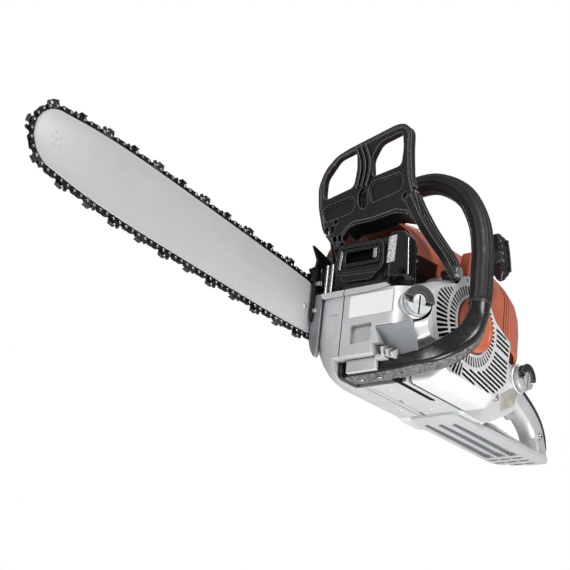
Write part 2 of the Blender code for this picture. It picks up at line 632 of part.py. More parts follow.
def make_sprocket_cover():
    """The cover over chain and clutch, held by the two bar nuts."""
    outline = ((5, 36), (33, 40), (52, 54), (68, 64), (78, 88), (78, 112), (66, 134), (30, 142), (-45, 140),
               (-76, 112), (-80, 62), (-52, 36))
    cover = prism("sprocket_cover", outline, "Y", COVER_FACE, COVER_FOOT, "magnesium")
    cut(cover, prism("inside", inset(outline, WALL), "Y", COVER_FACE + WALL, COVER_FOOT + 5, "magnesium"),
        prism("chain_exit", ((40, 30), (120, 30), (120, 128), (40, 128)), "Y", -73, -60, "magnesium"))
    for place in STUD_PLACES:
        spot = bar_place(place, 0)
        unite(cover, disc("boss", 9, "Y", spot, COVER_FACE + 1, COVER_FOOT + 1, "magnesium", 16))
        hole = disc("stud_hole", STUD_RADIUS + 0.6, "Y", spot, -95, -55, "magnesium", 12)
        cut(cover, hole)


# ---------------------------------------------------------------- bar, chain and spikes

def make_bar():
    edge = bar_edge(0.0)
    bar = prism("guide_bar", [bar_place(s, t) for s, t in edge], "Y", BAR_Y - BAR_HALF_THICKNESS,
                BAR_Y + BAR_HALF_THICKNESS, "bar_steel")
    slot_ends = (BAR_TAIL - 6, STUD_PLACES[1] + 16)
    slot = [bar_place(s, t) for s, t in ((slot_ends[0], -4.7), (slot_ends[1], -4.7), (slot_ends[1], 4.7),
                                         (slot_ends[0], 4.7))]
    nose = [bar_place(s, t) for s, t in ((518, -45), (575, -45), (575, 45), (518, 45))]
    cut(bar, prism("stud_slot", slot, "Y", -70, -50, "bar_steel"),
        prism("nose_slot", nose, "Y", BAR_Y - 0.9, BAR_Y + 0.9, "bar_steel"))


def make_nose():
    x, z = bar_place(BAR_TIP - NOSE_RADIUS + NOSE_AXIS_AHEAD, 0)
    tooth = ((NOSE_TIP, 0.15), (NOSE_TIP, 0.35), (NOSE_ROOT, 0.55), (NOSE_ROOT, 0.95))
    wheel = prism("nose_sprocket", wheel_outline((x, z), NOSE_TEETH, tooth), "Y", BAR_Y - 0.55, BAR_Y + 0.55,
                  "steel")
    cut(wheel, disc("hole", 6.4, "Y", (x, z), -70, -50, "steel", 16))
    hang("nose_sprocket", (x, BAR_Y, z), [wheel])


def make_chain():
    chain = prism("saw_chain", chain_loop(CHAIN_OUTER, CUTTER_HEIGHT), "Y", BAR_Y - CHAIN_HALF_WIDTH,
                  BAR_Y + CHAIN_HALF_WIDTH, "dark_steel")
    cut(chain, prism("inside", chain_loop(-CHAIN_INNER), "Y", BAR_Y - 10, BAR_Y + 10, "dark_steel"))


def make_spike():
    outline = ((86, 113), (86, 150), (96, 158), (108, 152), (127, 167), (117, 148), (115, 140), (127, 134),
               (117, 126), (115, 117), (114, 72), (106, 72), (106, 113))
    prism("bumper_spike", outline, "Y", -53.6, CASE_RIGHT - 0.5, "dark_steel")


def make_bar_fixings():
    for label, place in zip(("rear", "front"), STUD_PLACES):
        x, z = bar_place(place, 0)
        round_look(disc("bar_stud_" + label, STUD_RADIUS, "Y", (x, z), COVER_FACE - 5, -47, "steel", 12))
        hexagon = circle(8.5, 6, (x, z))
        nut = prism("bar_nut_" + label, hexagon, "Y", COVER_FACE - 6.8, COVER_FACE - GAP, "steel")
        cut(nut, disc("thread", STUD_RADIUS + GAP, "Y", (x, z), -100, -80, "steel", 12))


# ---------------------------------------------------------------- handles, tank and controls

def handlebar_path():
    x = HANDLE_CHANNEL_X
    anchors = ((x, 3, 15.5), (x, 50, 15.5), (x - 1, 90, 15.8), (x - 8, 116, 24), (52, 131, 46),
               (40, HANDLE_Y, 72), (HANDLE_X, HANDLE_Y, 95), (HANDLE_X, HANDLE_Y, 130), (HANDLE_X, 134, 160),
               (HANDLE_X, 126, 199), (HANDLE_X, 104, 237), (HANDLE_X, 66, 261), (HANDLE_X, 26, 263),
               (HANDLE_X, -12, 252), (HANDLE_X, -50, 227), (HANDLE_X, -82, 194), (HANDLE_X, -92, 163),
               (HANDLE_X, -93, 146))
    return smooth_path(anchors, 2)


def make_handlebar():
    path = handlebar_path()
    sleeve_start = min(i for i, p in enumerate(path) if p.z > 92 and p.y > 100)
    radii = [TUBE_UNDER_SLEEVE if i > sleeve_start else BARE_TUBE_RADIUS for i in range(len(path))]
    tube = sweep("front_handlebar", path, lambda i: circle(radii[i], 12), "black_plastic")
    tab = prism("tab", ((62, -9), (90, -9), (90, 14), (62, 14)), "Z", 3, 10, "black_plastic")
    arm = block("arm", (13, -98, 143.6), (33, CASE_RIGHT - 1.2, 150.5), "black_plastic")
    leg = block("leg", (13, CASE_RIGHT - 5, 103), (33, CASE_RIGHT - GAP, 150.5), "black_plastic")
    unite(tube, tab, arm, leg)
    grip_path = path[sleeve_start + 1:-3]
    grip = sweep("handlebar_grip", grip_path, lambda i: circle(HANDLE_TUBE_RADIUS, 12), "rubber")
    bore = circle(TUBE_UNDER_SLEEVE + 0.6, 12)
    cut(grip, sweep("tube_space", path[sleeve_start:-2], lambda i: bore, "rubber"))
    round_look(tube, 50)
    round_look(grip, 50)


def rear_path():
    return smooth_path([(x, GRIP_CENTRE_Y, z) for x, z in REAR_GRIP_PATH], 3)


def make_tank_and_handle():
    """The fuel tank, its foot plate and the rear handle, with a hand-sized opening between them."""
    tank = prism("tank_and_handle", TANK_OUTLINE, "Y", -46, 50, "magnesium")
    foot = prism("foot", FOOT_OUTLINE, "Z", 0, 6, "magnesium")
    grip = [(GRIP_HALF_WIDTH * math.cos(a), GRIP_HALF_WIDTH * math.sin(a)) for a in
            (2 * math.pi * (i + 0.5) / 14 for i in range(14))]
    handle = sweep("handle", rear_path(), lambda i: grip, "magnesium")
    x, y, z = FUEL_CAP_CENTRE
    boss = disc("boss", 18.5, "Y", (x, z), 40, y, "magnesium", 20)
    unite(tank, foot, handle, boss)
    cut(tank, disc("neck", 13, "Y", (x, z), y - 11, y + 5, "magnesium", 18))
    for i in range(3):
        side = -18 + 18 * i
        cut(tank, block("rib_gap", (-236, side, -3), (-96, side + 11, 2.4), "magnesium"))


def make_handle_cover():
    """The black strip along the back of the rear handle."""
    low = GRIP_HALF_WIDTH + COVER_GAP
    high = GRIP_HALF_WIDTH + COVER_TOP
    sweep("rear_handle_cover", rear_path()[5:-1], lambda i: ((-12, low), (12, low), (9, high), (-9, high)),
          "black_plastic")


def make_controls():
    """Trigger, lockout and master lever of the rear handle."""
    y = GRIP_CENTRE_Y
    finger = ((-208, 59), (-213, 61), (-221, 56), (-229, 49), (-233, 41), (-228, 39), (-220, 43),
              (-211, 46), (-207.5, 51))
    trigger = prism("throttle_trigger", finger, "Y", y - 6, y + 6, "black_plastic")
    hang("throttle_trigger", (-211, y, 56), [trigger])
    thumb = ((-208, 102.7), (-208, 106.5), (-214, 109.5), (-228, 103), (-226.5, 96), (-216, 99.5))
    lock = prism("trigger_lockout", thumb, "Y", y - 5, y + 5, "black_plastic")
    hang("trigger_lockout", (-210, y, 104.5), [lock])
    switch = ((-197, 99.6), (-190, 99.6), (-190, 102.5), (-199, 112), (-203, 108))
    lever = prism("master_lever", switch, "Y", y + 16, y + 23, "black_plastic")
    hang("master_lever", (-193, y + 19, 101), [lever])


def make_cap(label, centre, axis):
    """A screw cap with a folded lever on its face."""
    profile = ((0, -8), (11.6, -8), (11.6, 0.4), (17.5, 0.4), (17.5, 6.4), (0, 6.4))
    cap = lathe(label + "_cap", profile, centre, axis, "magnesium", 24)
    axis = Vector(axis).normalized()
    hinge = Vector(centre) + axis * 8.4
    half = [(15 * math.cos(a), 15 * math.sin(a)) for a in (math.pi * i / 10 for i in range(11))]
    side = Vector((0, 0, 1)).cross(axis).normalized()
    rings = [[hinge + side * a + Vector((0, 0, 1)) * b + axis * w for a, b in half] for w in (-1.6, 1.6)]
    lever = loft(label + "_cap_lever", rings, "black_plastic")
    hang(label + "_cap", centre, [round_look(cap)])
    hang(label + "_cap_lever", tuple(hinge), [lever])


# ---------------------------------------------------------------- hand guard

def guard_plate(name, outline, low, high):
    """A plate facing forward that leans with height."""
    plate = prism(name, outline, "X", low, high, "black_plastic")
    for vertex in plate.data.vertices:
        vertex.co.x += (GUARD_X + GUARD_LEAN * (vertex.co.z / MM - GUARD_BASE_Z)) * MM
    return plate


def make_guard():
    outline = ((-41, 168), (-60, 194), (-66, 226), (-66, 253), (-55, 273), (-37, 287), (-17, 293), (31, 303),
               (55, 309), (67, 307), (75, 298), (73, 273), (73, 239), (80, 212), (86, 192), (78, 186),
               (67, 194), (50, 200), (15, 194), (-21, 193), (-31, 184), (-36, 171))
    guard = guard_plate("hand_guard", outline, -4.5, 4.5)
    left_window = ((-56, 240), (-51, 264), (-30, 283), (-8, 286), (-8, 266), (-14, 245), (-50, 238))
    right_window = ((19, 249), (17, 272), (31, 289), (58, 294), (59, 277), (55, 258))
    cut(guard, guard_plate("left_window", left_window, -12, 12),
        guard_plate("right_window", right_window, -12, 12))
    x, z = GUARD_PIVOT
    left = [(96, 79, 214), (84, 90, 193), (60, 102.8, 156), (x, 102.8, z)]
    depths = (11, 10, 9, 8)
    widths = (6, 5, 4, 3.2)
    left_arm = sweep("left_arm", left, lambda i: beam_section(depths[i], widths[i]), "black_plastic",
                     (0, 1, 0))
    eye = disc("eye", 9, "Y", GUARD_PIVOT, 99.6, 106, "black_plastic", 16)
    right = [(90, -44, 180), (78, -47, 163), (60, -47, 146), (x, -47, z)]
    right_arm = sweep("right_arm", right, lambda i: beam_section(8, 3), "black_plastic", (0, 1, 0))
    right_eye = disc("right_eye", 8.5, "Y", GUARD_PIVOT, -50.0, -44.0, "black_plastic", 16)
    unite(guard, left_arm, eye, right_arm, right_eye)
    cut(guard, disc("left_hole", 4.4, "Y", GUARD_PIVOT, 90, 112, "black_plastic", 14),
        disc("right_hole", 4.4, "Y", GUARD_PIVOT, -56, -40, "black_plastic", 14))
    hang("hand_guard", (x, 0, z), [guard])


def beam_section(half_depth, half_width):
    return ((-half_width, -half_depth), (half_width, -half_depth), (half_width, half_depth),
            (-half_width, half_depth))


def make_guard_pivots():
    x, z = GUARD_PIVOT
    bolt = ((0, 86), (4, 86), (4, 106.4), (7, 106.4), (7, 109.8), (0, 109.8))
    round_look(lathe("guard_pivot_bolt", bolt, (x, 0, z), (0, 1, 0), "steel", 14))
    pin = ((0, 39.2), (4, 39.2), (4, 50.6), (6.5, 50.6), (6.5, 53), (0, 53))
    round_look(lathe("guard_pivot_pin", pin, (x, 0, z), (0, -1, 0), "steel", 14))


# ---------------------------------------------------------------- small pieces

def make_small_pieces():
    block("label_plate", (CASE_FRONT + 0.3, 8, 66), (CASE_FRONT + 1.0, 72, 93), "label")
    catcher = ((88, 40), (102, 46), (104, 52), (98, 54), (86, 48))
    prism("chain_catcher", catcher, "Y", CASE_RIGHT - 5.2, CASE_RIGHT - GAP, "aluminium")
    for label, y in (("right", -22), ("left", 30)):
        round_look(disc("av_buffer_" + label, 9, "X", (y, 60), -70.0, CASE_REAR - GAP, "rubber", 16))


def main():
    for old in list(bpy.data.objects):
        bpy.data.objects.remove(old)
    make_crankcase()
    make_cylinder()
    make_piston_group()
    make_rod_group()
    make_crank_group()
    make_drum_group()
    make_bearings()
    make_brake_band()
    make_top_end()
    make_muffler()
    make_induction()
    make_fan_housing()
    make_starter()
    make_shroud()
    make_filter_cover()
    make_cover_knob()
    make_sprocket_cover()
    make_bar()
    make_nose()
    make_chain()
    make_spike()
    make_bar_fixings()
    make_handlebar()
    make_tank_and_handle()
    make_handle_cover()
    make_controls()
    make_cap("oil", OIL_CAP_CENTRE, OIL_CAP_AXIS)
    make_cap("fuel", FUEL_CAP_CENTRE, (0, 1, 0))
    make_guard()
    make_guard_pivots()
    make_small_pieces()


main()
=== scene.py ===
"""The looks of a petrol chainsaw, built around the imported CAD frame.

Sizes are in millimetres in the frame's own axes: +X forward along the bar, +Y to the operator's left,
+Z up.
"""
import json
import math

import bmesh
import bpy
import numpy as np
from mathutils import Matrix, Vector


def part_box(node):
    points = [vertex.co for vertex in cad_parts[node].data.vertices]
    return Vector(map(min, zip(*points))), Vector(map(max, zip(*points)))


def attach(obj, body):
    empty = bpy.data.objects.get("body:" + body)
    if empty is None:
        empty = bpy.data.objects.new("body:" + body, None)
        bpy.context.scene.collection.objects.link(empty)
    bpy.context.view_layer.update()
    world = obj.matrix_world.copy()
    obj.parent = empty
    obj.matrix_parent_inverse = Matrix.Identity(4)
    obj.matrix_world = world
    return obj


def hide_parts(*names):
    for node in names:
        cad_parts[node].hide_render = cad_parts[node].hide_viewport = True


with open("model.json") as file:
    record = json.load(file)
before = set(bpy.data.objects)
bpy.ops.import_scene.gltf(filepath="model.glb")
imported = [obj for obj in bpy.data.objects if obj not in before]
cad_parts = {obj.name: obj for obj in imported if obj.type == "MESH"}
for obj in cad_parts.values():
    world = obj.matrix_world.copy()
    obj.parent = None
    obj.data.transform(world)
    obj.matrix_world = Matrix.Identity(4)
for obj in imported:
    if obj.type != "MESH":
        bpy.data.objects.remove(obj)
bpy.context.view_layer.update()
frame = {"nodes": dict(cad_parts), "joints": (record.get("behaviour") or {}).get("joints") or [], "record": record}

MM = 0.001
JOINTS = {joint["name"]: joint for joint in frame["joints"]}


def corners(node):
    """A CAD node's lowest and highest corner, in millimetres."""
    low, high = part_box(node)
    return low / MM, high / MM


def pivot(joint):
    """The place of a joint, in millimetres."""
    return Vector(JOINTS[joint]["pos_m"]) / MM


CRANK = pivot("crankshaft_spin")
NOSE_PIVOT = pivot("nose_spin")
GUARD_AXIS = pivot("guard_tilt").xz


# ---------------- materials

GRIME = (0.05, 0.045, 0.04)


class Look:
    """A procedural material under construction: its nodes, and short ways to join them."""

    def __init__(self, name, colour, roughness, metallic=0.0):
        self.material = bpy.data.materials.new(name)
        self.material.use_nodes = True
        self.tree = self.material.node_tree
        self.shader = self.tree.nodes["Principled BSDF"]
        self.shader.inputs["Base Color"].default_value = (*colour, 1)
        self.shader.inputs["Roughness"].default_value = roughness
        self.shader.inputs["Metallic"].default_value = metallic
        self.colour = colour
        self.place = self.node("ShaderNodeTexCoord").outputs["Object"]

    def node(self, kind, **values):
        made = self.tree.nodes.new(kind)
        for key, value in values.items():
            setattr(made, key, value)
        return made

    def join(self, source, target):
        self.tree.links.new(source, target)

    def noise(self, scale, detail=3.0, stretch=(1, 1, 1), rough=0.55):
        """Noise of a given frequency per metre, stretched along the axes."""
        mapping = self.node("ShaderNodeMapping")
        mapping.inputs["Scale"].default_value = stretch
        self.join(self.place, mapping.inputs["Vector"])
        made = self.node("ShaderNodeTexNoise")
        made.inputs["Scale"].default_value = scale
        made.inputs["Detail"].default_value = detail
        made.inputs["Roughness"].default_value = rough
        self.join(mapping.outputs[0], made.inputs["Vector"])
        return made.outputs["Fac"]

    def spread(self, source, low, high, start=0.3, end=0.7):
        """A number input remapped from start..end to low..high."""
        made = self.node("ShaderNodeMapRange")
        for key, value in (("From Min", start), ("From Max", end), ("To Min", low), ("To Max", high)):
            made.inputs[key].default_value = value
        self.join(source, made.inputs["Value"])
        return made.outputs[0]

    def tint(self, factor, other, base=None):
        """Base colour mixed towards another colour by a factor."""
        mix = self.node("ShaderNodeMix", data_type="RGBA")
        self.join(factor, mix.inputs["Factor"])
        if base is None:
            mix.inputs["A"].default_value = (*self.colour, 1)
        else:
            self.join(base, mix.inputs["A"])
        mix.inputs["B"].default_value = (*other, 1)
        self.join(mix.outputs["Result"], self.shader.inputs["Base Color"])
        return mix.outputs["Result"]

    def relief(self, height, depth_mm, strength=0.5):
        """Bump from a height, after any bump that is already there."""
        bump = self.node("ShaderNodeBump")
        bump.inputs["Strength"].default_value = strength
        bump.inputs["Distance"].default_value = depth_mm * MM
        self.join(height, bump.inputs["Height"])
        before = self.shader.inputs["Normal"].links
        if before:
            self.join(before[0].from_socket, bump.inputs["Normal"])
        self.join(bump.outputs[0], self.shader.inputs["Normal"])

    def vary_roughness(self, pattern, low, high):
        self.join(self.spread(pattern, low, high), self.shader.inputs["Roughness"])

    def edges(self, radius_mm):
        """A mask that is bright along the mesh's edges, from a bevelled normal set against the true one."""
        bevel = self.node("ShaderNodeBevel", samples=4)
        bevel.inputs["Radius"].default_value = radius_mm * MM
        true_normal = self.node("ShaderNodeNewGeometry").outputs["Normal"]
        dot = self.node("ShaderNodeVectorMath", operation="DOT_PRODUCT")
        self.join(bevel.outputs[0], dot.inputs[0])
        self.join(true_normal, dot.inputs[1])
        return self.spread(dot.outputs["Value"], 1, 0, 0.82, 0.99)


def scaled(colour, share, lift=0.0):
    return tuple(min(1, c * share + lift) for c in colour)


def painted_crevice_shade(look, reach_mm, depth, base):
    """Painted shade: base colour darkened, by up to depth, where surfaces close in on each other, from ambient
    occlusion.
    """
    shade = look.node("ShaderNodeAmbientOcclusion", samples=6)
    shade.inputs["Distance"].default_value = reach_mm * MM
    return look.tint(look.spread(shade.outputs["AO"], depth, 0, 0.2, 0.8), (0.0, 0.0, 0.0), base)


def cast_paint(name, colour):
    """Silver-grey powder coat over a magnesium casting."""
    look = Look(name, colour, 0.36, 0.35)
    mottled = look.tint(look.spread(look.noise(35, 4), 0, 0.35), scaled(colour, 0.72))
    # Painted shade in the crevices, then painted highlights: the edges lighter, where light catches them.
    shaded = painted_crevice_shade(look, 7, 0.8, mottled)
    look.tint(look.edges(0.8), scaled(colour, 1.5), shaded)
    look.vary_roughness(look.noise(260, 2), 0.28, 0.48)
    look.relief(look.noise(900, 3), 0.12, 0.35)
    look.relief(look.noise(60, 2), 0.5, 0.12)
    return look.material


def moulded_plastic(name, colour, roughness, highlight_colour, specular=0.5, grain=0.4, rim=0.7):
    """Injection-moulded plastic with a fine spark-eroded grain."""
    look = Look(name, colour, roughness)
    look.shader.inputs["Specular IOR Level"].default_value = specular
    mottled = look.tint(look.spread(look.noise(50, 3), 0, 0.25), scaled(colour, 0.75))
    # Painted shade in the crevices, then painted highlights along the edges in the highlight colour.
    shaded = painted_crevice_shade(look, 6, 0.75, mottled)
    look.tint(look.spread(look.edges(rim), 0, 0.75, 0, 1), highlight_colour, shaded)
    look.vary_roughness(look.noise(180, 3), roughness - 0.08, roughness + 0.1)
    look.relief(look.noise(1500, 2), 0.08, grain)
    return look.material


def bar_steel():
    """Ground and clear-lacquered steel: fine scratches along the bar."""
    look = Look("bar_steel_ground", (0.42, 0.42, 0.43), 0.42, 0.2)
    streaks = look.noise(220, 5, (0.06, 1, 1.6))
    look.tint(look.spread(streaks, 0, 0.2), (0.33, 0.33, 0.34))
    look.vary_roughness(look.noise(40, 3), 0.38, 0.5)
    look.relief(streaks, 0.04, 0.1)
    return look.material


def bare_metal(name, colour, roughness, amount=0.5):
    """Machined metal with a film of oil and dirt in patches."""
    look = Look(name, colour, roughness, 1.0)
    dirty = look.tint(look.spread(look.noise(120, 5), 0, amount, 0.45, 0.75), GRIME)
    # Painted highlight: the edges lighter than the metal.
    look.tint(look.spread(look.edges(0.35), 0, 0.7, 0, 1), scaled(colour, 1.6, 0.1), dirty)
    look.vary_roughness(look.noise(300, 4), roughness - 0.08, roughness + 0.15)
    look.relief(look.noise(700, 3), 0.06, 0.3)
    return look.material


def patchy(name, colour, roughness, metallic, other, patches, relief, spots=None, start=0.3, end=0.7):
    """A plain material with patches of another colour.

    patches, and spots for the roughness, hold a noise's scale and detail and a range; relief holds a noise's
    scale and detail, a depth and a strength.
    """
    look = Look(name, colour, roughness, metallic)
    scale, detail, low, high = patches
    look.tint(look.spread(look.noise(scale, detail), low, high, start, end), other)
    if spots:
        look.vary_roughness(look.noise(*spots[:2]), *spots[2:])
    look.relief(look.noise(*relief[:2]), *relief[2:])
    return look


def grip_rubber():
    look = patchy("rubber_grip", (0.006, 0.006, 0.0065), 0.5, 0.0, (0.014, 0.014, 0.014), (80, 4, 0, 0.4),
                  (1300, 3, 0.12, 0.5), (200, 2, 0.4, 0.6))
    look.shader.inputs["Specular IOR Level"].default_value = 0.4
    return look.material


def grey_flecked_black():
    """Black with rough grey patches from fine noise, and lighter grey along the edges."""
    look = Look("enamel_grey_flecked", (0.02, 0.02, 0.021), 0.5)
    grey_flecked = look.tint(look.spread(look.noise(330, 6, rough=0.7), 0, 0.85, 0.42, 0.6), (0.22, 0.22, 0.225))
    look.tint(look.spread(look.edges(0.5), 0, 0.5, 0, 1), (0.3, 0.3, 0.3), grey_flecked)
    look.relief(look.noise(600, 5), 0.3, 0.6)
    return look.material


def pleated_fleece():
    """Filter fleece with upright pleats."""
    look = Look("filter_fleece", (0.72, 0.66, 0.50), 0.9)
    look.tint(look.spread(look.noise(400, 4), 0, 0.5), (0.50, 0.44, 0.32))
    pleats = look.node("ShaderNodeTexWave", bands_direction="Z")
    pleats.inputs["Scale"].default_value = 60
    look.join(look.place, pleats.inputs["Vector"])
    look.relief(pleats.outputs["Fac"], 1.0, 0.7)
    return look.material


LOOKS = {
    "casting": ("magnesium", cast_paint("paint_silver", (0.56, 0.57, 0.58))),
    "white_casting": ("magnesium", cast_paint("paint_pale", (0.68, 0.685, 0.69))),
    "grey_casting": ("magnesium", cast_paint("paint_grey", (0.42, 0.43, 0.44))),
    # Painted shade: a darker copy of the paint, for sheets and walls where shade falls.
    "painted_shade_casting": ("magnesium", cast_paint("paint_shade_grey", (0.25, 0.26, 0.27))),
    "clouded": ("magnesium", patchy("plastic_clouded", (0.46, 0.44, 0.39), 0.35, 0.0, (0.20, 0.19, 0.165),
                                    (70, 4, 0, 0.8), (300, 3, 0.1, 0.3), (150, 3, 0.28, 0.45)).material),
    # Each moulded look's second colour is the painted highlight along its edges.
    "orange": ("orange_plastic",
               moulded_plastic("plastic_orange", (0.44, 0.10, 0.052), 0.36, (0.72, 0.33, 0.22))),
    "black": ("black_plastic",
              moulded_plastic("plastic_black", (0.009, 0.009, 0.0095), 0.32, (0.36, 0.36, 0.365), 0.42,
                              rim=1.3)),
    "enamel": ("black_plastic",
               moulded_plastic("enamel_black", (0.005, 0.005, 0.0055), 0.22, (0.30, 0.30, 0.30), 0.5,
                               0.12)),
    "grey_flecked": ("black_plastic", grey_flecked_black()),
    # Near-black: painted shade for slots, ports, gaps and hollows, and the dark joint line round the fan housing.
    "shadow": ("black_plastic",
               moulded_plastic("black_shadows_and_joints", (0.002, 0.002, 0.002), 0.8, (0.004, 0.004, 0.004), 0.1)),
    "rubber": ("rubber", grip_rubber()),
    "bar": ("bar_steel", bar_steel()),
    "dark_steel": ("dark_steel", bare_metal("steel_dark", (0.030, 0.030, 0.033), 0.32)),
    "cutter": ("dark_steel", bare_metal("steel_cutter", (0.09, 0.09, 0.095), 0.28)),
    "steel": ("steel", bare_metal("steel_bright", (0.62, 0.62, 0.63), 0.26, amount=0.25)),
    "aluminium": ("aluminium", patchy("aluminium_cast", (0.58, 0.58, 0.60), 0.5, 0.9, (0.33, 0.33, 0.35),
                                      (90, 5, 0, 0.5), (1100, 3, 0.2, 0.5)).material),
    "label": ("label", patchy("label_film", (0.82, 0.82, 0.82), 0.35, 0.0, (0.70, 0.70, 0.71),
                              (45, 4, 0, 0.4), (90, 3, 0.08, 0.3)).material),
    "foil": ("label", patchy("foil_wrinkled", (0.72, 0.72, 0.73), 0.35, 0.3, (0.16, 0.16, 0.16),
                             (420, 4, 0, 0.9), (260, 4, 0.4, 0.6), start=0.48, end=0.62).material),
    "fleece": ("filter_paper", pleated_fleece()),
}
SLOT_LOOKS = {"magnesium": "casting", "orange_plastic": "orange", "black_plastic": "black",
              "rubber": "rubber", "bar_steel": "bar", "dark_steel": "dark_steel", "steel": "steel",
              "aluminium": "aluminium", "label": "label", "filter_paper": "fleece"}


# ---------------- outlines and paths

def rounded(outline, radius, steps=4):
    """The outline with short curves for corners; radius is one number, or one for each corner."""
    made = []
    count = len(outline)
    radii = radius if isinstance(radius, list) else [radius] * count
    for i in range(count):
        before, here, after = (Vector(outline[(i + k) % count]) for k in (-1, 0, 1))
        start = here + (before - here).normalized() * min(radii[i], (before - here).length * 0.45)
        end = here + (after - here).normalized() * min(radii[i], (after - here).length * 0.45)
        for k in range(steps + 1):
            t = k / steps
            made.append(tuple(start.lerp(here, t).lerp(here.lerp(end, t), t)))
    return made


def full_turn(count):
    """Evenly spaced angles all the way round."""
    return [2 * math.pi * i / count for i in range(count)]


def circle(radius, count=32, centre=(0.0, 0.0)):
    return [(centre[0] + radius * math.cos(a), centre[1] + radius * math.sin(a)) for a in full_turn(count)]


def rectangle(left, bottom, right, top):
    return [(left, bottom), (right, bottom), (right, top), (left, top)]


def inset(outline, depth):
    """The outline moved inward by depth, with mitred corners; it may run either way."""
    count = len(outline)
    area = sum(outline[i][0] * outline[(i + 1) % count][1] - outline[(i + 1) % count][0] * outline[i][1]
               for i in range(count))
    sign = 1 if area > 0 else -1
    moved = []
    for i in range(count):
        before, here, after = (Vector(outline[(i + k) % count]) for k in (-1, 0, 1))
        first = (here - before).normalized()
        second = (after - here).normalized()
        normal = Vector((-first.y, first.x)) * sign
        middle = (normal + Vector((-second.y, second.x)) * sign).normalized()
        moved.append(tuple(here + middle * depth / max(0.35, middle.dot(normal))))
    return moved


def smooth_path(points, per_span=6):
    """A Catmull-Rom curve through the points."""
    spots = [Vector(p) for p in points]
    spots = [2 * spots[0] - spots[1]] + spots + [2 * spots[-1] - spots[-2]]
    path = []
    for i in range(1, len(spots) - 2):
        a, b, c, d = spots[i - 1:i + 3]
        for k in range(per_span):
            t = k / per_span
            path.append(0.5 * (2 * b + (c - a) * t + (2 * a - 5 * b + 4 * c - d) * t ** 2
                               + (3 * b - a - 3 * c + d) * t ** 3))
    return path + [spots[-2]]


# ---------------- solids

def placed(axis, u, v, w):
    """The point with in-plane coordinates u and v, at w along the axis."""
    return {"X": (w, u, v), "Y": (u, w, v), "Z": (u, v, w)}[axis]


def loft(sections):
    """A closed mesh through rings of equal count, with flat ends."""
    mesh = bmesh.new()
    rings = [[mesh.verts.new(Vector(p) * MM) for p in ring] for ring in sections]
    for low, high in zip(rings, rings[1:]):
        for i in range(len(low)):
            j = (i + 1) % len(low)
            mesh.faces.new((low[i], low[j], high[j], high[i]))
    mesh.faces.new(rings[0])
    mesh.faces.new(rings[-1])
    return mesh


def prism(outline, axis, low, high):
    """An outline pushed along X (outline in Y, Z), Y (in X, Z) or Z (in X, Y)."""
    return loft([[placed(axis, u, v, w) for u, v in outline] for w in (low, high)])


def soft_prism(outline, radius, axis, low, high):
    """A prism whose outline has rounded corners."""
    return prism(rounded(outline, radius), axis, low, high)


def rod(axis, radius, centre, low, high, count=40):
    """A round bar or bore along X, Y or Z; centre is its place across that axis."""
    return prism(circle(radius, count, centre), axis, low, high)


def block(low, high, radius=0.0):
    """A box with rounded upright edges."""
    outline = rectangle(low[0], low[1], high[0], high[1])
    return prism(rounded(outline, radius) if radius else outline, "Z", low[2], high[2])


def lathe(profile, centre, axis, count=40):
    """A closed profile of (radius, height) points turned about an axis through centre."""
    turn = Vector((0, 0, 1)).rotation_difference(Vector(axis).normalized()).to_matrix()
    mesh = bmesh.new()
    rings = []
    for radius, height in profile:
        spots = [(0, 0)] if radius == 0 else circle(radius, count)
        points = [Vector(centre) + turn @ Vector((x, y, height)) for x, y in spots]
        rings.append([mesh.verts.new(point * MM) for point in points])
    for low, high in zip(rings, rings[1:] + rings[:1]):
        if len(low) == len(high) == 1:
            continue
        for i in range(count):
            j = (i + 1) % count
            ring = [low[i % len(low)], low[j % len(low)], high[j % len(high)], high[i % len(high)]]
            mesh.faces.new(list(dict.fromkeys(ring)))
    return mesh


def sweep(path, section, across=None):
    """A section carried along a path: points (side, up), or a function that gives them for step i."""
    spots = [Vector(p) for p in path]
    rings = []
    side = None
    for i, spot in enumerate(spots):
        ahead = (spots[min(i + 1, len(spots) - 1)] - spots[max(i - 1, 0)]).normalized()
        if side is None:
            side = ahead.cross(Vector((0, 0, 1)))
            if side.length < 0.1:
                side = ahead.cross(Vector((1, 0, 0)))
        side = Vector(across) if across else side
        side = (side - ahead * side.dot(ahead)).normalized()
        up = side.cross(ahead)
        points = section(i) if callable(section) else section
        rings.append([spot + side * a + up * b for a, b in points])
    return loft(rings)


def wire(path, radius, count=12):
    """A round section carried along a path."""
    return sweep(path, circle(radius, count))


def plug(radius, low, high, centre, axis, count=32):
    """A cylinder from low to high along any axis through centre."""
    return lathe(rectangle(0, low, radius, high), centre, axis, count)


def settled(mesh, name):
    """Mesh data from an edit mesh, which is freed."""
    data = bpy.data.meshes.new(name)
    mesh.to_mesh(data)
    mesh.free()
    return data


def shown(name, data):
    """An object in the scene."""
    made = bpy.data.objects.new(name, data)
    bpy.context.scene.collection.objects.link(made)
    return made


def gather(meshes):
    """Several meshes as one, each still closed in itself."""
    total = meshes[0]
    for mesh in meshes[1:]:
        data = settled(mesh, "gathered")
        total.from_mesh(data)
        bpy.data.meshes.remove(data)
    return total


def hidden(mesh):
    """A bare object that holds a mesh, for Booleans."""
    bmesh.ops.recalc_face_normals(mesh, faces=mesh.faces)
    return shown("working", settled(mesh, "working"))


def combine(base, others, operation):
    """The Boolean of a mesh with each of the others in turn."""
    target = hidden(base)
    for other in others:
        tool = hidden(other)
        step = target.modifiers.new("combine", "BOOLEAN")
        step.operation = operation
        step.solver = "EXACT"
        step.object = tool
        bpy.context.view_layer.update()
        graph = bpy.context.evaluated_depsgraph_get()
        result = bpy.data.meshes.new_from_object(target.evaluated_get(graph))
        target.modifiers.clear()
        target.data = result
        bpy.data.objects.remove(tool)
    mesh = bmesh.new()
    mesh.from_mesh(target.data)
    bpy.data.objects.remove(target)
    return mesh


def cut(base, *cutters):
    return combine(base, cutters, "DIFFERENCE")


def unite(base, *others):
    return combine(base, others, "UNION")


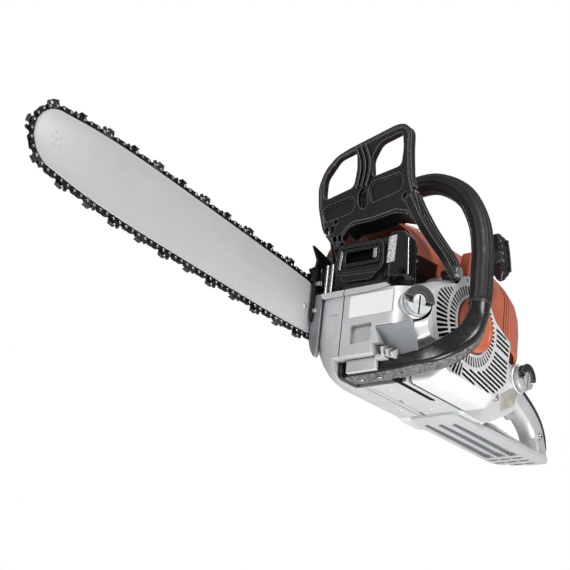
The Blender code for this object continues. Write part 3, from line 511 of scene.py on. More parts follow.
def piece(name, mesh, look, body="saw_body", stands_for=None, bevel=0.0, sharp=32, segments=3):
    """A finished, visible piece that rides on a CAD body and can stand for one of its nodes."""
    bmesh.ops.remove_doubles(mesh, verts=mesh.verts, dist=0.002 * MM)
    bmesh.ops.recalc_face_normals(mesh, faces=mesh.faces)
    data = settled(mesh, name)
    slot, material = LOOKS[look]
    data.materials.append(material)
    data.shade_smooth()
    data.set_sharp_from_angle(angle=math.radians(sharp))
    made = shown(name, data)
    if bevel:
        soften(made, bevel, sharp, segments)
    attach(made, body)
    if stands_for:
        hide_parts(stands_for)
    return made


def soften(made, width, sharp=32, segments=3):
    """Rounded edges where two faces meet at more than the sharp angle."""
    step = made.modifiers.new("edges", "BEVEL")
    step.width = width * MM
    step.segments = segments
    step.limit_method = "ANGLE"
    step.angle_limit = math.radians(sharp)
    step.harden_normals = True
    step.use_clamp_overlap = True


# ---------------- carried-over CAD nodes

def dress_cad_nodes():
    """Give every CAD node its finish, and rounded edges where its own shape is kept."""
    slots = {entry["node"]: entry["material_slot"] for entry in frame["record"]["subparts"]}
    for name, node in frame["nodes"].items():
        node.data.materials.clear()
        node.data.materials.append(LOOKS[SLOT_LOOKS[slots[name]]][1])
        weld = node.modifiers.new("weld", "WELD")
        weld.merge_threshold = 0.01 * MM
        soften(node, 0.5, 38, 2)


# ---------------- bar and chain

BAR_LOW, BAR_HIGH = corners("guide_bar")
BAR_Y = (BAR_LOW.y + BAR_HIGH.y) / 2
BAR_TILT = math.atan2(NOSE_PIVOT.z - CRANK.z, NOSE_PIVOT.x - CRANK.x)
NOSE_RADIUS = 33.0
NOSE_CENTRE = 528.0            # distances along the bar, from the crankshaft axis
BAR_TAIL = 42.0
BAR_WIDTHS = ((42.0, 23.0), (120.0, 32.0), (250.0, 36.2), (400.0, 39.6), (500.0, 35.5), (528.0, 33.0))
RIVET_LINE = 3.6               # above the bar's edge
SPROCKET_RADIUS = 21.2
PITCH = 9.525                  # rivet to rivet
PATTERN = 8                    # rivets from one left cutter to the next


def bar_place(s, t):
    """Frame X and Z of the point s along the bar and t above its centre line."""
    c, n = math.cos(BAR_TILT), math.sin(BAR_TILT)
    return CRANK.x + s * c - t * n, CRANK.z + s * n + t * c


def bar_edge(offset, tail=BAR_TAIL, steps=40, nose_steps=32):
    """Points (s, t) round the bar's front, from the lower tail to the upper tail, moved out by offset."""
    places, widths = zip(*BAR_WIDTHS)
    curve = np.polyfit(places, widths, 4)
    along = [tail + (NOSE_CENTRE - tail) * i / steps for i in range(steps)]
    lower = [(s, -float(np.polyval(curve, s)) - offset) for s in along]
    turns = [-math.pi / 2 + math.pi * i / nose_steps for i in range(nose_steps + 1)]
    reach = NOSE_RADIUS + offset
    nose = [(NOSE_CENTRE + reach * math.cos(a), reach * math.sin(a)) for a in turns]
    return lower + nose + [(s, -t) for s, t in reversed(lower)]


def bar_ring(depth, y):
    """The bar's outline drawn in by depth, on the plane y from its centre plane."""
    return [placed("Y", *bar_place(s, t), BAR_Y + y) for s, t in inset(bar_edge(0.0), depth)]


def make_bar():
    half = (BAR_HIGH.y - BAR_LOW.y) / 2
    side = ((4.6, half), (4.0, half - 0.22), (0.35, half - 0.22), (0.0, half - 0.5), (0.0, 0.85))
    rings = [bar_ring(d, y) for d, y in side] + [bar_ring(5.5, 0.85)]
    rings += [bar_ring(5.5, -0.85)] + [bar_ring(d, -y) for d, y in reversed(side)]
    bar = loft(rings)
    stud_slot = rounded([bar_place(s, t) for s, t in rectangle(30, -4.7, 80, 4.7)], 4.4)
    holes = [prism(stud_slot, "Y", BAR_Y - 9, BAR_Y + 9)]
    for s, t, radius in ((58, 15, 3.2), (58, -15, 3.2), (118, 0, 4.0)):
        holes.append(rod("Y", radius, bar_place(s, t), BAR_Y - 9, BAR_Y + 9, 24))
    piece("guide_bar_blade", cut(bar, *holes), "bar", stands_for="guide_bar", sharp=25)
    make_bar_details(half)


def make_bar_details(half):
    """A faint rosette of small nose rivets and one pressed ring further down, on both faces."""
    marks = []
    nose = NOSE_CENTRE + 4
    places = [(nose + 7 * math.cos(a), 7 * math.sin(a)) for a in full_turn(5)]
    for sign in (-1, 1):
        face = BAR_Y + sign * (half - 0.25)
        for s, t in places + [(nose, 0)]:
            x, z = bar_place(s, t)
            marks.append(lathe(((0, 0), (1.9, 0), (1.9, 0.18), (1.5, 0.28), (0, 0.3)), (x, face, z),
                               (0, sign, 0), 16))
    piece("guide_bar_nose_rivets", gather(marks), "bar")
    ring = ((4.2, 0), (4.7, 0), (4.7, 0.2), (4.45, 0.26), (4.2, 0.2))
    rings = [lathe(ring, (446, BAR_Y + sign * (half - 0.25), 122.6), (0, sign, 0), 40) for sign in (-1, 1)]
    piece("guide_bar_ring", gather(rings), "dark_steel")


def chain_track():
    """The closed rivet line as a dense row of points (s, t), in the direction the chain runs."""
    front = bar_edge(RIVET_LINE, tail=70.0, steps=60, nose_steps=40)
    turns = [math.radians(100 + 160 * i / 24) for i in range(25)]
    rear = [(SPROCKET_RADIUS * math.cos(a), SPROCKET_RADIUS * math.sin(a)) for a in turns]
    return [Vector(p) for p in reversed(front + rear)]


def rivet_places(first):
    """Evenly spaced rivet centres round the track, from the point nearest to first."""
    track = chain_track()
    start = min(range(len(track)), key=lambda i: (track[i] - Vector(first)).length)
    track = track[start:] + track[:start + 1]
    lengths = [0.0]
    for a, b in zip(track, track[1:]):
        lengths.append(lengths[-1] + (b - a).length)
    count = round(lengths[-1] / PITCH / PATTERN) * PATTERN
    wanted = [lengths[-1] * i / count for i in range(count)]
    along, outward = ([p[axis] for p in track] for axis in (0, 1))
    return [Vector((np.interp(w, lengths, along), np.interp(w, lengths, outward))) for w in wanted]


def link(a, b, outline, y_low, y_high):
    """A flat link between rivets a and b; outline is (forward, outward) about their middle."""
    forward = (b - a).normalized()
    outward = Vector((-forward.y, forward.x))
    middle = (a + b) / 2
    spots = [middle + forward * u + outward * v for u, v in outline]
    return prism([bar_place(p.x, p.y) for p in spots], "Y", BAR_Y + y_low, BAR_Y + y_high)


HALF = PITCH / 2
STRAP = rounded([(-HALF - 2.9, -2.7), (-1.2, -2.7), (0, -2.0), (1.2, -2.7), (HALF + 2.9, -2.7),
                 (HALF + 2.9, 2.6), (1.2, 2.6), (0, 2.0), (-1.2, 2.6), (-HALF - 2.9, 2.6)], 2.4, 3)
DRIVE = rounded([(-HALF - 2.7, -2.2), (-3.2, -4.0), (-1.0, -8.0), (2.6, -8.4), (3.4, -4.0),
                 (HALF + 2.7, -2.2), (HALF + 2.7, 2.0), (HALF, 2.7), (0, 1.4), (-HALF, 2.7),
                 (-HALF - 2.7, 2.0)], 1.6, 2)
CUTTER = rounded([(-HALF - 3.2, -2.7), (HALF + 3.0, -2.7), (HALF + 3.4, 0.5), (HALF + 3.0, 4.8),
                  (HALF + 1.0, 6.4), (HALF - 1.2, 6.0), (HALF - 1.6, 3.2), (2.0, 1.6), (-0.4, 2.2),
                  (-0.4, 6.8), (-HALF - 3.4, 5.8), (-HALF - 3.8, 2.6)], 0.9, 2)
TOP_PLATE = ((0.0, 5.9), (0.0, 7.1), (-HALF - 3.6, 6.0), (-HALF - 3.4, 5.0))
DRIVE_HALF = 0.78
STRAP_OUT = 2.45


def make_chain():
    places = rivet_places((150.5, 41.0))
    count = len(places)
    straps, drives, cutters, rivets = [], [], [], []
    for i in range(count):
        a, b = places[i], places[(i + 1) % count]
        if i % 2:
            drives.append(link(a, b, DRIVE, -DRIVE_HALF, DRIVE_HALF))
            continue
        kind = (i % PATTERN) // 2
        side = {0: 1, 2: -1}.get(kind, 0)
        for hand in (-1, 1):
            low, high = sorted((hand * (DRIVE_HALF + 0.05), hand * STRAP_OUT))
            row, outline = (cutters, CUTTER) if hand == side else (straps, STRAP)
            row.append(link(a, b, outline, low, high))
        if side:
            low, high = sorted((side * STRAP_OUT * 1.28, -side * 1.9))
            cutters.append(link(a, b, TOP_PLATE, low, high))
    for spot in places:
        x, z = bar_place(spot.x, spot.y)
        head = ((0, -2.9), (1.2, -2.9), (1.5, -2.7), (1.5, 2.7), (1.2, 2.9), (0, 2.9))
        rivets.append(lathe(head, (x, BAR_Y, z), (0, 1, 0), 12))
    piece("chain_tie_straps", gather(straps), "dark_steel", stands_for="saw_chain", bevel=0.25, segments=1)
    piece("chain_drive_links", gather(drives), "dark_steel")
    piece("chain_cutters", gather(cutters), "cutter", bevel=0.2, segments=1)
    piece("chain_rivets", gather(rivets), "steel")


# ---------------- hand guard

GUARD_OUTER_Y = corners("hand_guard")[1].y
GUARD_BASE = (88.0, 165.0)     # X and Z of the plate's foot
GUARD_LEAN = 0.17
GUARD_HALF = 4.5               # half the plate's thickness
GUARD_OUTLINE = ((-41, 170), (-60, 196), (-66, 226), (-66, 253), (-55, 273), (-37, 287), (-17, 293),
                 (31, 303), (55, 308), (67, 306), (75, 297), (73, 273), (73, 239), (80, 212), (86, 192),
                 (79, 186), (67, 195), (50, 200), (15, 196), (-14, 196), (-24, 190), (-31, 182), (-36, 172))
LEFT_WINDOW = ((-59, 240), (-56, 263), (-35, 284), (-6, 290), (-6, 264), (-12, 243), (-54, 235))
RIGHT_WINDOW = ((16, 250), (15, 273), (28, 291), (62, 298), (63, 277), (59, 256))
LEFT_POCKET = ((-61, 220), (-57, 206), (-15, 212), (-9, 222), (-13, 232), (-53, 227))
RIGHT_POCKET = ((10, 235), (14, 218), (58, 226), (62, 237), (58, 248), (14, 244))
OVAL = ((-6, 233), (-5, 217), (2, 212), (9, 217), (8, 236), (1, 241))
# Centre Y and Z, width and height of the small openings.
GUARD_HOLES = ((-54, 195, 7.5, 10), (-45, 195, 6.5, 10), (-40, 204, 6, 6.5), (-42, 182, 6.5, 9),
               (-34, 183, 5.5, 9), (63, 217, 7, 9), (75, 219, 4.5, 17))


def leaning(mesh):
    """Shear an upright mesh to the guard plate's lean."""
    for vertex in mesh.verts:
        vertex.co.x += (GUARD_BASE[0] + GUARD_LEAN * (vertex.co.z / MM - GUARD_BASE[1])) * MM
    return mesh


def guard_layer(outline, low, high, radius):
    return leaning(soft_prism(outline, radius, "X", low, high))


def beam_section(half_depth, half_width, web=0.35):
    """An I-beam's outline, thin across its middle."""
    w, d, t, f = half_width, half_depth, half_width * web, half_depth * 0.55
    return [(-w, -d), (w, -d), (w, -f), (t, -f + 1), (t, f - 1), (w, f), (w, d), (-w, d), (-w, f),
            (-t, f - 1), (-t, -f + 1), (-w, -f)]


def strut_rib(bow):
    """One of the curved upright ribs between the guard's windows."""
    spots = [(6.5, bow + 7 * math.sin(math.pi * k / 8), 240 + 6.4 * k) for k in range(9)]
    rib = sweep(spots, rounded(rectangle(-1.7, -3, 1.7, 2.5), 1.2, 2), (0, 1, 0))
    return leaning(rib)


def make_guard():
    plate = guard_layer(GUARD_OUTLINE, -GUARD_HALF, GUARD_HALF, 7)
    groove = cut(*[guard_layer(inset(GUARD_OUTLINE, depth), 3.6 - depth * 0.2, 8 + depth, 5)
                   for depth in (3.0, 4.6)])
    windows = [guard_layer(outline, -12, 12, 6) for outline in (LEFT_WINDOW, RIGHT_WINDOW)]
    pockets = [guard_layer(outline, 0.4, 12, 5) for outline in (LEFT_POCKET, RIGHT_POCKET)]
    slots = [guard_layer(OVAL, -2.5, 12, 5)]
    for y, z, width, height in GUARD_HOLES:
        corner = [(y - width / 2, z - height / 2), (y + width / 2, z - height / 2 + 1),
                  (y + width / 2, z + height / 2 + 1), (y - width / 2, z + height / 2)]
        slots.append(guard_layer(corner, -12, 12, 2.2))
    plate = cut(plate, groove, *windows, *pockets, *slots)
    flange = [(-24, 190), (-14, 196), (15, 196), (50, 200), (67, 195)]
    front = [(5, y, z) for y, z in flange] + [(5, y, z + 4) for y, z in reversed(flange)]
    rear = [(-17, y, z - 5) for y, z in flange] + [(-17, y, z - 1) for y, z in reversed(flange)]
    plate = unite(plate, leaning(loft([front, rear])))
    piece("hand_guard_plate", plate, "black", "hand_guard", "hand_guard", bevel=0.9)
    piece("hand_guard_ribs", gather([strut_rib(-6), strut_rib(1.2), strut_rib(8.4)]), "black", "hand_guard",
          sharp=40)
    make_guard_arms()


def make_guard_arms():
    x, z = GUARD_AXIS
    outer = GUARD_OUTER_Y
    left = smooth_path([(97, 72, 216), (89, 80, 195), (76, 89, 173), (59, outer - 5, 148),
                        (x, outer - 3.2, z)], 4)
    depth = [12.5 - 4.2 * i / 16 for i in range(17)]
    arm = sweep(left, lambda i: beam_section(depth[i], 3.4 + depth[i] * 0.12), (0, 1, 0))
    eye = rod("Y", 9, (x, z), outer - 6.4, outer)
    right = smooth_path([(92, -43, 182), (78, -47, 163), (60, -47, 146), (x, -47, z)], 4)
    other = sweep(right, beam_section(7.5, 2.8, 0.5), (0, 1, 0))
    other_eye = rod("Y", 8.5, (x, z), -50, -44)
    hole = rod("Y", 4.4, (x, z), -60, 115, 32)
    arms = [cut(unite(arm, eye), hole.copy()), cut(unite(other, other_eye), hole)]
    piece("hand_guard_arms", gather(arms), "black", "hand_guard", bevel=0.5)


# ---------------- front handlebar

BAR_TUBE = 12.4                             # radius of the tube where it is round
SLEEVE = 13.4                               # radius of the rubber over it
BAND_HALF_WIDTH = 15.4                      # of the tube's pressed-flat run under the crankcase
BAND_END_HALF, BAND_MID_HALF = 7.3, 8.8     # half its height at its end and in its middle
SOLE_SCREWS = (8, 34)                       # Y of the two screws in its sole
FLUTES, FLUTE_DEPTH = 12, 0.45              # of the rubber


def handle_path():
    """The tube's centre line: under the crankcase, up the left side, over the top, down the right."""
    crown = corners("handlebar_grip")[1]
    out = crown.y - SLEEVE
    x = 35.0
    anchors = ((80, -10, 9.4), (80, 50, 11.6), (79, 86, 14.6), (71, 112, 23.4), (54, out - 3, 45),
               (40, out, 72), (x, out, 95), (x, out, 130), (x, out - 1, 160), (x, out - 9, 199),
               (x, out - 31, 237), (x, out - 69, 261), (x, out - 109, 263), (x, -12, 252), (x, -50, 227),
               (x, -82, 194), (x, -92, 163), (x, -93, 146))
    return smooth_path(anchors, 8)


def between(value, low, high):
    """How far value has come from low to high, eased, from 0 to 1."""
    t = min(1.0, max(0.0, (value - low) / (high - low)))
    return t * t * (3 - 2 * t)


def band_half_height(place):
    """Half the tube's height at a point of its path."""
    if place.z > 60:
        return BAR_TUBE + 0.6 - 0.6 * between(place.z, 62, 92)
    flat = BAND_END_HALF + (BAND_MID_HALF - BAND_END_HALF) * between(place.y, -10, 50)
    return flat + (BAR_TUBE + 0.6 - flat) * between(place.y, 84, 122)


def tube_section(place, shrink=0.0):
    """The tube's section at a point of its path: a flat rounded bar at first, round from the bend on."""
    t = between(place.z, 26, 92)
    power = 2 / (6 - 4 * t)
    half = (BAND_HALF_WIDTH + (BAR_TUBE - BAND_HALF_WIDTH) * t - shrink, band_half_height(place) - shrink)
    ring = []
    for a in full_turn(48):
        c, n = math.cos(a), math.sin(a)
        ring.append((half[0] * math.copysign(abs(c) ** power, c),
                     half[1] * math.copysign(abs(n) ** power, n)))
    return ring


def fluted(radius):
    """A round section with broad lengthwise grooves."""
    ring = []
    for a in full_turn(96):
        reach = radius - FLUTE_DEPTH * (1 - math.cos(FLUTES * a))
        ring.append((reach * math.cos(a), reach * math.sin(a)))
    return ring


def make_handlebar():
    path = handle_path()
    start = min(i for i, p in enumerate(path) if p.z > 90 and p.y > 100)
    bare = path[:start + 1]
    lower = sweep(bare, lambda i: tube_section(bare[i], 2.0 if i == 0 else 0.0))
    upper = wire(path[start:], 10.0, 28)
    piece("front_handlebar_tube", gather([lower, upper]), "enamel", stands_for="front_handlebar", sharp=50)
    body = path[start + 1:-4]
    last = len(body) - 1
    sleeve = sweep(body, lambda i: fluted(SLEEVE - (1.0 if i in (0, last) else 0)))
    piece("handlebar_sleeve", sleeve, "rubber", stands_for="handlebar_grip", sharp=60)
    collars = [wire(path[k:k + 2], SLEEVE + 0.1, 40) for k in (start, len(path) - 5)]
    piece("handlebar_collars", gather(collars), "black", bevel=0.6)
    make_grey_flecked_sole(bare)
    make_handle_leg()


def make_grey_flecked_sole(path):
    """The grey-flecked sole under the tube's flat run, with its screw holes, and the lip that closes its end."""
    run = [p for p in path if p.z < 62]
    count = len(run) - 1

    def sole(i):
        half = 13.0 - 3.5 * between(run[i].y, 70, 116) - 6.0 * between(run[i].z, 20, 56)
        low = -band_half_height(run[i]) - 0.9
        edge = 1.6 if i in (0, count) else 0.0
        return [(-half + edge, low + 2.2), (-half + edge, low + 0.7), (-half + 2 + edge, low),
                (half - 2 - edge, low), (half - edge, low + 0.7), (half - edge, low + 2.2)]
    strap = sweep(run, sole)
    holes = []
    for y in SOLE_SCREWS:
        outline = rectangle(74.8, y - 4.4, 85.2, y + 4.4)
        holes.append(soft_prism(outline, 4.2, "Z", -3, 3.6))
    holes.append(rod("Z", 2.4, (82, 66), -3, 5, 20))
    piece("front_handlebar_sole", cut(strap, *holes), "grey_flecked", bevel=0.3)
    lip = soft_prism([(62, 1), (97, 1), (99, 6), (99, 18), (97, 19), (62, 19)], 1.5, "Y", -13, -8)
    piece("front_handlebar_lip", lip, "enamel", bevel=0.5)
    make_screws("handlebar_sole_screws", [(80, y, 3.4) for y in SOLE_SCREWS], (0, 0, -1), 3.6)


def make_handle_leg():
    """The right-hand foot of the tube, clamped to the crankcase."""
    arm = soft_prism(rectangle(13, 143.6, 33, 150.5), 3, "Y", -98, CASE_LOW.y - 1.2)
    leg = soft_prism(rectangle(13, 103, 33, 150.5), 5, "Y", -55, CASE_LOW.y - 0.4)
    cuff = lathe(((0, -3), (13, -3), (13.8, 0), (13.8, 12), (12.6, 14), (0, 14)), (35, -88.5, 140),
                 (0, 0, 1))
    piece("front_handlebar_foot", unite(arm, leg, cuff), "black", bevel=1.0)
    make_screws("handlebar_foot_screws", [(23, -55.2, z) for z in (112, 132)], (0, -1, 0), 4.2)


def hex_screw(centre, axis, radius):
    """A cap screw's head with a hexagon socket, its outer face facing along the axis."""
    head = lathe(((0, -3), (radius, -3), (radius, 2.6), (radius - 0.5, 3.1), (0, 3.1)), centre, axis, 28)
    socket = plug(radius * 0.52, 0.8, 4, centre, axis, 6)
    return cut(head, socket)


def make_screws(name, places, axis, radius, look="steel"):
    piece(name, gather([hex_screw(place, axis, radius) for place in places]), look, bevel=0.2)


# ---------------- silencer and spike

MUFFLER_LOW, MUFFLER_HIGH = corners("muffler_body")
OUTLET_LOW, OUTLET_HIGH = corners("muffler_outlet")
MUFFLER_INNER_Y = 57.6        # the box's left side, where the heat shield begins
SHIELD_FRONT_Y = 80.0         # the shield's outer edge


def make_muffler():
    """The silencer's box with pressed ribs, its window, and the heat shield beside it."""
    low, high = MUFFLER_LOW, MUFFLER_HIGH
    inner = MUFFLER_INNER_Y
    side = [(low.x, low.z), (high.x - 3, low.z), (high.x, low.z + 4), (high.x, high.z - 7),
            (high.x - 6, high.z), (low.x, high.z)]
    body = soft_prism(side, 4, "Y", low.y, inner)
    ribs = []
    for k in range(4):
        x = low.x + 4 + 11 * k
        outline = rectangle(x, high.z - 1, x + 4, high.z + 1.2)
        ribs.append(soft_prism(outline, 1, "Y", low.y + 6, inner - 6))
    shield_face = [(inner - 2, 113), (85, 109), (SHIELD_FRONT_Y + 1.2, 157.5), (76, 166), (inner - 2, 168)]
    shield = soft_prism(shield_face, 3, "X", 96, high.x - 0.6)
    window = soft_prism(rectangle(-9, 127, 40, 157), 5, "X", high.x - 8, high.x + 5)
    body = cut(unite(body, gather(ribs), shield), window)
    piece("muffler_shell", body, "enamel", stands_for="muffler_body", bevel=1.4)
    # Painted highlight: a bright steel wire along the shield's front edge gives the light line along that edge.
    rim = wire([(high.x - 0.4, 85.2, 110), (high.x - 0.4, SHIELD_FRONT_Y + 1.6, 156)], 0.6)
    piece("muffler_shield_highlight_wire", rim, "steel")
    band = rectangle(low.y - 1, low.z - 0.5, inner + 1, high.z + 1)
    piece("muffler_seam", soft_prism(band, 6, "X", low.x + 26, low.x + 28.4), "enamel", bevel=0.6)
    make_outlet()


def make_outlet():
    """The framed mouth on the silencer's front: frame, sunken lip, guide vanes, blank plate, screws."""
    low, high = OUTLET_LOW, OUTLET_HIGH
    outline = ((-15, 122), (-19, 130), (-17, 154), (-11, 160), (46, 158.5), (51, 153), (52, 124), (44, 118))
    collar = soft_prism(outline, 5, "X", low.x - 3, high.x)
    mouth = soft_prism(inset(outline, 3.6), 4, "X", low.x + 1.0, high.x + 3)
    port_outline = rounded([(-5, 136), (40, 135), (40, 150), (-5, 151)], 3)
    collar = cut(collar, mouth, prism(port_outline, "X", low.x - 6, high.x + 3))
    chin = soft_prism([(-14, 125), (-5, 113), (36, 111), (45, 122)], 5, "X", low.x - 4, high.x - 1.0)
    ring = soft_prism([(-9, 132), (44.5, 131), (44.5, 154), (-9, 155)], 4, "X", low.x, high.x - 1.0)
    ring = cut(ring, prism(port_outline, "X", low.x - 6, high.x + 3))
    piece("muffler_outlet_frame", unite(collar, chin), "enamel", stands_for="muffler_outlet", bevel=0.9)
    piece("muffler_outlet_lip", ring, "enamel", bevel=0.5)
    # Painted shade: a near-black sheet at the back of the port.
    piece("muffler_outlet_shadow", prism(port_outline, "X", low.x - 5.5, low.x - 5.0), "shadow")
    vane = soft_prism(rectangle(36, 137, 41, 149), 1, "X", low.x + 1, high.x - 0.4)
    guide = soft_prism([(-13.6, 130), (-10.4, 128), (-8.6, 151), (-11.6, 154)], 1, "X", low.x + 1,
                       high.x + 0.2)
    piece("muffler_spark_guides", gather([vane, guide]), "steel", bevel=0.4)
    plate = soft_prism([(53.5, 129), (64, 130), (65, 163), (54.5, 162)], 1, "X", MUFFLER_HIGH.x - 0.7,
                       MUFFLER_HIGH.x + 0.3)
    piece("muffler_blank_foil", plate, "foil")
    places = [(MUFFLER_HIGH.x + 0.4, y, z) for y, z in ((52, 112), (76, 116), (-14, 107))]
    make_screws("muffler_screws", places, (1, 0, 0), 3.4, "dark_steel")


def make_spike():
    """The toothed plate that is set against the wood, with its slot, hole and screws."""
    low, high = corners("bumper_spike")
    outline = ((86, 113), (86, 157), (96, 161), (122, 167), (111, 152), (113, 143), (124, 135), (115, 126),
               (113, 117), (113, 73), (106, 73), (106, 113))
    plate = prism(rounded(outline, 1.6, 3), "Y", low.y, high.y)
    slots = [soft_prism(rectangle(98, 118, 103, 144), 2.4, "Y", low.y - 3, high.y + 3),
             rod("Y", 2.2, (109.6, 86), low.y - 3, high.y + 3, 24)]
    piece("bumper_spike_plate", cut(plate, gather(slots)), "dark_steel", stands_for="bumper_spike",
          bevel=0.5)
    pillars = [soft_prism(rectangle(96, y, 104, y + 5), 2, "Z", 104, 146) for y in (-44, -36)]
    piece("bumper_spike_pillars", gather(pillars), "steel", bevel=0.8)
    places = [(x, high.y + 2.4, z) for x, z in ((109.6, 86), (108.5, 121))]
    make_screws("bumper_spike_screws", places, (0, 1, 0), 3.2)


# ---------------- crankcase

CASE_LOW = corners("crankcase")[0]
CASE_FRONT = 115.0
CASE_LEFT = 58.0
CASE_TOP = 121.6
LIP_Z = 101.0
BORE_CLEAR = 27.8
CHAMBER_RADIUS = 35.5          # of the room for the crank's webs
SCOOP_CENTRE = (131.0, 16.0)   # X and Z of the duct's hollow face
SCOOP_RADIUS = 40.0
UNDER_GAP = ((71, 45.5), (70, 53), (-8, 52), (-12, 49), (-8, 45))
OIL_CAP, OIL_AXIS = pivot("oil_cap_turn"), Vector(JOINTS["oil_cap_turn"]["axis"])
FUEL_CAP, FUEL_AXIS = pivot("fuel_cap_turn"), Vector(JOINTS["fuel_cap_turn"]["axis"])


def case_ring(z, front, right, rear):
    """The crankcase's plan outline at a height, with its broad right front corner."""
    outline = [(rear, right), (front - 24, right), (front, right + 26), (front, CASE_LEFT),
               (rear, CASE_LEFT)]
    return [(x, y, z) for x, y in rounded(outline, [6, 16, 16, 2, 2], 5)]


def make_crankcase():
    front, right, rear = CASE_FRONT, CASE_LOW.y, CASE_LOW.x
    levels = ((0, front - 17, right + 25, rear + 8), (3, front - 9, right + 23, rear + 4),
              (9, front - 3, right + 19, rear), (20, front, right + 12, rear), (42, front, right, rear),
              (94, front, right, rear), (LIP_Z, front - 1, right, rear))
    case = loft([case_ring(*level) for level in levels])
    crown = prism([(rear, 90), (rear, LIP_Z), (-50, CASE_TOP), (54, CASE_TOP), (58, LIP_Z), (58, 90)], "Y",
                  right, CASE_LEFT)
    lip = soft_prism([(right + 24, LIP_Z - 5.5), (34, LIP_Z - 5.5), (60, LIP_Z - 3.5), (60, LIP_Z + 1.5),
                      (right + 20, LIP_Z + 1.5)], 1.5, "X", front - 6, front + 1.6)
    seat = block((54, CASE_LOW.y - 6.4, 68), (104, -46, 108), 4)
    case = unite(case, crown, lip, seat, make_fairing(), cap_boss(OIL_CAP, OIL_AXIS, 18, 14))
    case = cut(case, block((61, -14, -6), (98, 72, 31), 5),
               block((96, -13, -6), (130, 48, 19.5), 2),
               block((90, 44, -6), (130, 110, 32), 3),
               make_scoop(),
               pocket((11, 33, 31, 24), 7),
               pocket((-38, 40, 30, 34), 1.2),
               *case_seams(),
               plug(13, -12, 3, OIL_CAP, OIL_AXIS),
               rod("Z", BORE_CLEAR, (0, 0), 88, 130),
               rod("Y", CHAMBER_RADIUS, (0, CRANK.z), -13, 13, 48),
               rod("Y", 37.6, (0, CRANK.z), -60, -28, 48),
               rod("Y", 58, (0, CRANK.z), 38, 70, 48))
    piece("crankcase_casting", case, "casting", stands_for="crankcase", bevel=0.9)
    make_case_details()


def make_fairing():
    """The duct's swelling beside the oil cap, between the front face and the starter side."""
    outline = [(98, 44), (CASE_FRONT, 44), (CASE_FRONT, 70), (107, 85), (98, 89)]
    return prism(rounded(outline, [1, 1, 14, 6, 1], 5), "Z", 12, 97)


def slanted(mesh):
    """Shear the duct's inner end, so that it starts further to the left towards its foot."""
    for vertex in mesh.verts:
        if vertex.co.y < 50 * MM:
            vertex.co.y += (54 - vertex.co.z / MM) * 0.28 * MM
    return mesh


def make_scoop_shade():
    """A thin sheet of painted shade over the duct's hollow face under the oil cap."""
    x, z = SCOOP_CENTRE
    turns = np.linspace(math.radians(117), math.radians(176), 16)
    near, far = SCOOP_RADIUS - 1.2, SCOOP_RADIUS - 0.1
    ring = [(x + r * math.cos(a), z + r * math.sin(a)) for r, row in ((near, turns), (far, turns[::-1]))
            for a in row]
    piece("crankcase_duct_shade", slanted(prism(ring, "Y", 48, 94)), "painted_shade_casting", sharp=40)


def make_scoop():
    """The concave underside of the duct, open to the front and left."""
    return slanted(rod("Y", SCOOP_RADIUS, SCOOP_CENTRE, 46, 110, 72))


def pocket(rect, depth):
    """A rounded recess in the front face; rect holds Y, Z, width and height."""
    y, z, width, height = rect
    outline = [(y, z), (y + width, z + 1), (y + width, z + height), (y, z + height)]
    return soft_prism(outline, 3, "X", CASE_FRONT - depth, CASE_FRONT + 4)


def case_seams():
    """The joint between the crankcase's halves and the lines of its underside."""
    heart = [(-80, 2.4), (98, 2.4), (104, 5.4), (109.8, 10.4), (112.4, 20), (112.4, 150), (-80, 150)]
    split = cut(block((-70, -2.4, -1), (130, -0.6, 140)), prism(heart, "Y", -6, 3))
    gap = prism(UNDER_GAP, "Z", -3, 7)
    under_seam = prism([(106, 3.4), (106, 4.6), (-70, 7.4), (-70, 6.2)], "Z", -3, 1.6)
    small_slots = [soft_prism(outline, 1.5, "Z", -3, 3.5) for outline in (
        [(-56, 2), (-42, 4), (-42, 9), (-56, 8)], rectangle(-4, 8, 6, 11))]
    return [split, gap, under_seam] + small_slots


def make_case_details():
    """Ribs and ledge by the handlebar, screws, the chain-side shield and the blank sticker."""
    front = CASE_FRONT
    ribs = []
    for k in range(3):
        y = 55 + 5.4 * k
        low = 18 - 1.5 * k
        outline = [(90, low), (front - 6 - 2.5 * k, low), (front - 3 - 2.5 * k, low + 8 - 2 * k),
                   (90, low + 16)]
        ribs.append(soft_prism(outline, 1, "Y", y, y + 2.4))
    ribs.append(block((90, 44, 15), (front - 8, 57, 19), 2))
    ribs.append(block((96.5, 1.0, 4.0), (102.5, 43.5, 18.6), 1.5))
    make_scoop_shade()
    piece("crankcase_gap_shade", prism(inset(UNDER_GAP, 0.1), "Z", 0.3, 6.8), "shadow")
    piece("crankcase_ribs", gather(ribs), "casting", bevel=0.6)
    places = [(x, y, 2.4) for x, y in ((40, 22), (-40, 24), (-30, -14))]
    make_screws("crankcase_screws", places, (0, 0, -1), 3.6, "casting")
    shield = [(-37, 104), (-50, 107), (-55, 103), (-55, 48), (-50, 36), (-43, 27), (-39, 27), (-37, 42)]
    flap = soft_prism(shield, 3, "X", front - 9, front - 2.5)
    for vertex in flap.verts:
        vertex.co.x += 0.25 * min(0.0, vertex.co.y + 38 * MM)
    # Painted shade: the flap takes the darker grey of the shaded face beside the chain.
    piece("crankcase_chain_shield", flap, "painted_shade_casting", bevel=1.2)
    label_low, label_high = corners("label_plate")
    right = label_high.y - 2.6
    sheet = soft_prism(rectangle(label_low.y, label_low.z, right, label_high.z), 1.2, "X", front + 0.05,
                       front + 0.45)
    piece("blank_sticker", sheet, "label", stands_for="label_plate")


# ---------------- screw caps

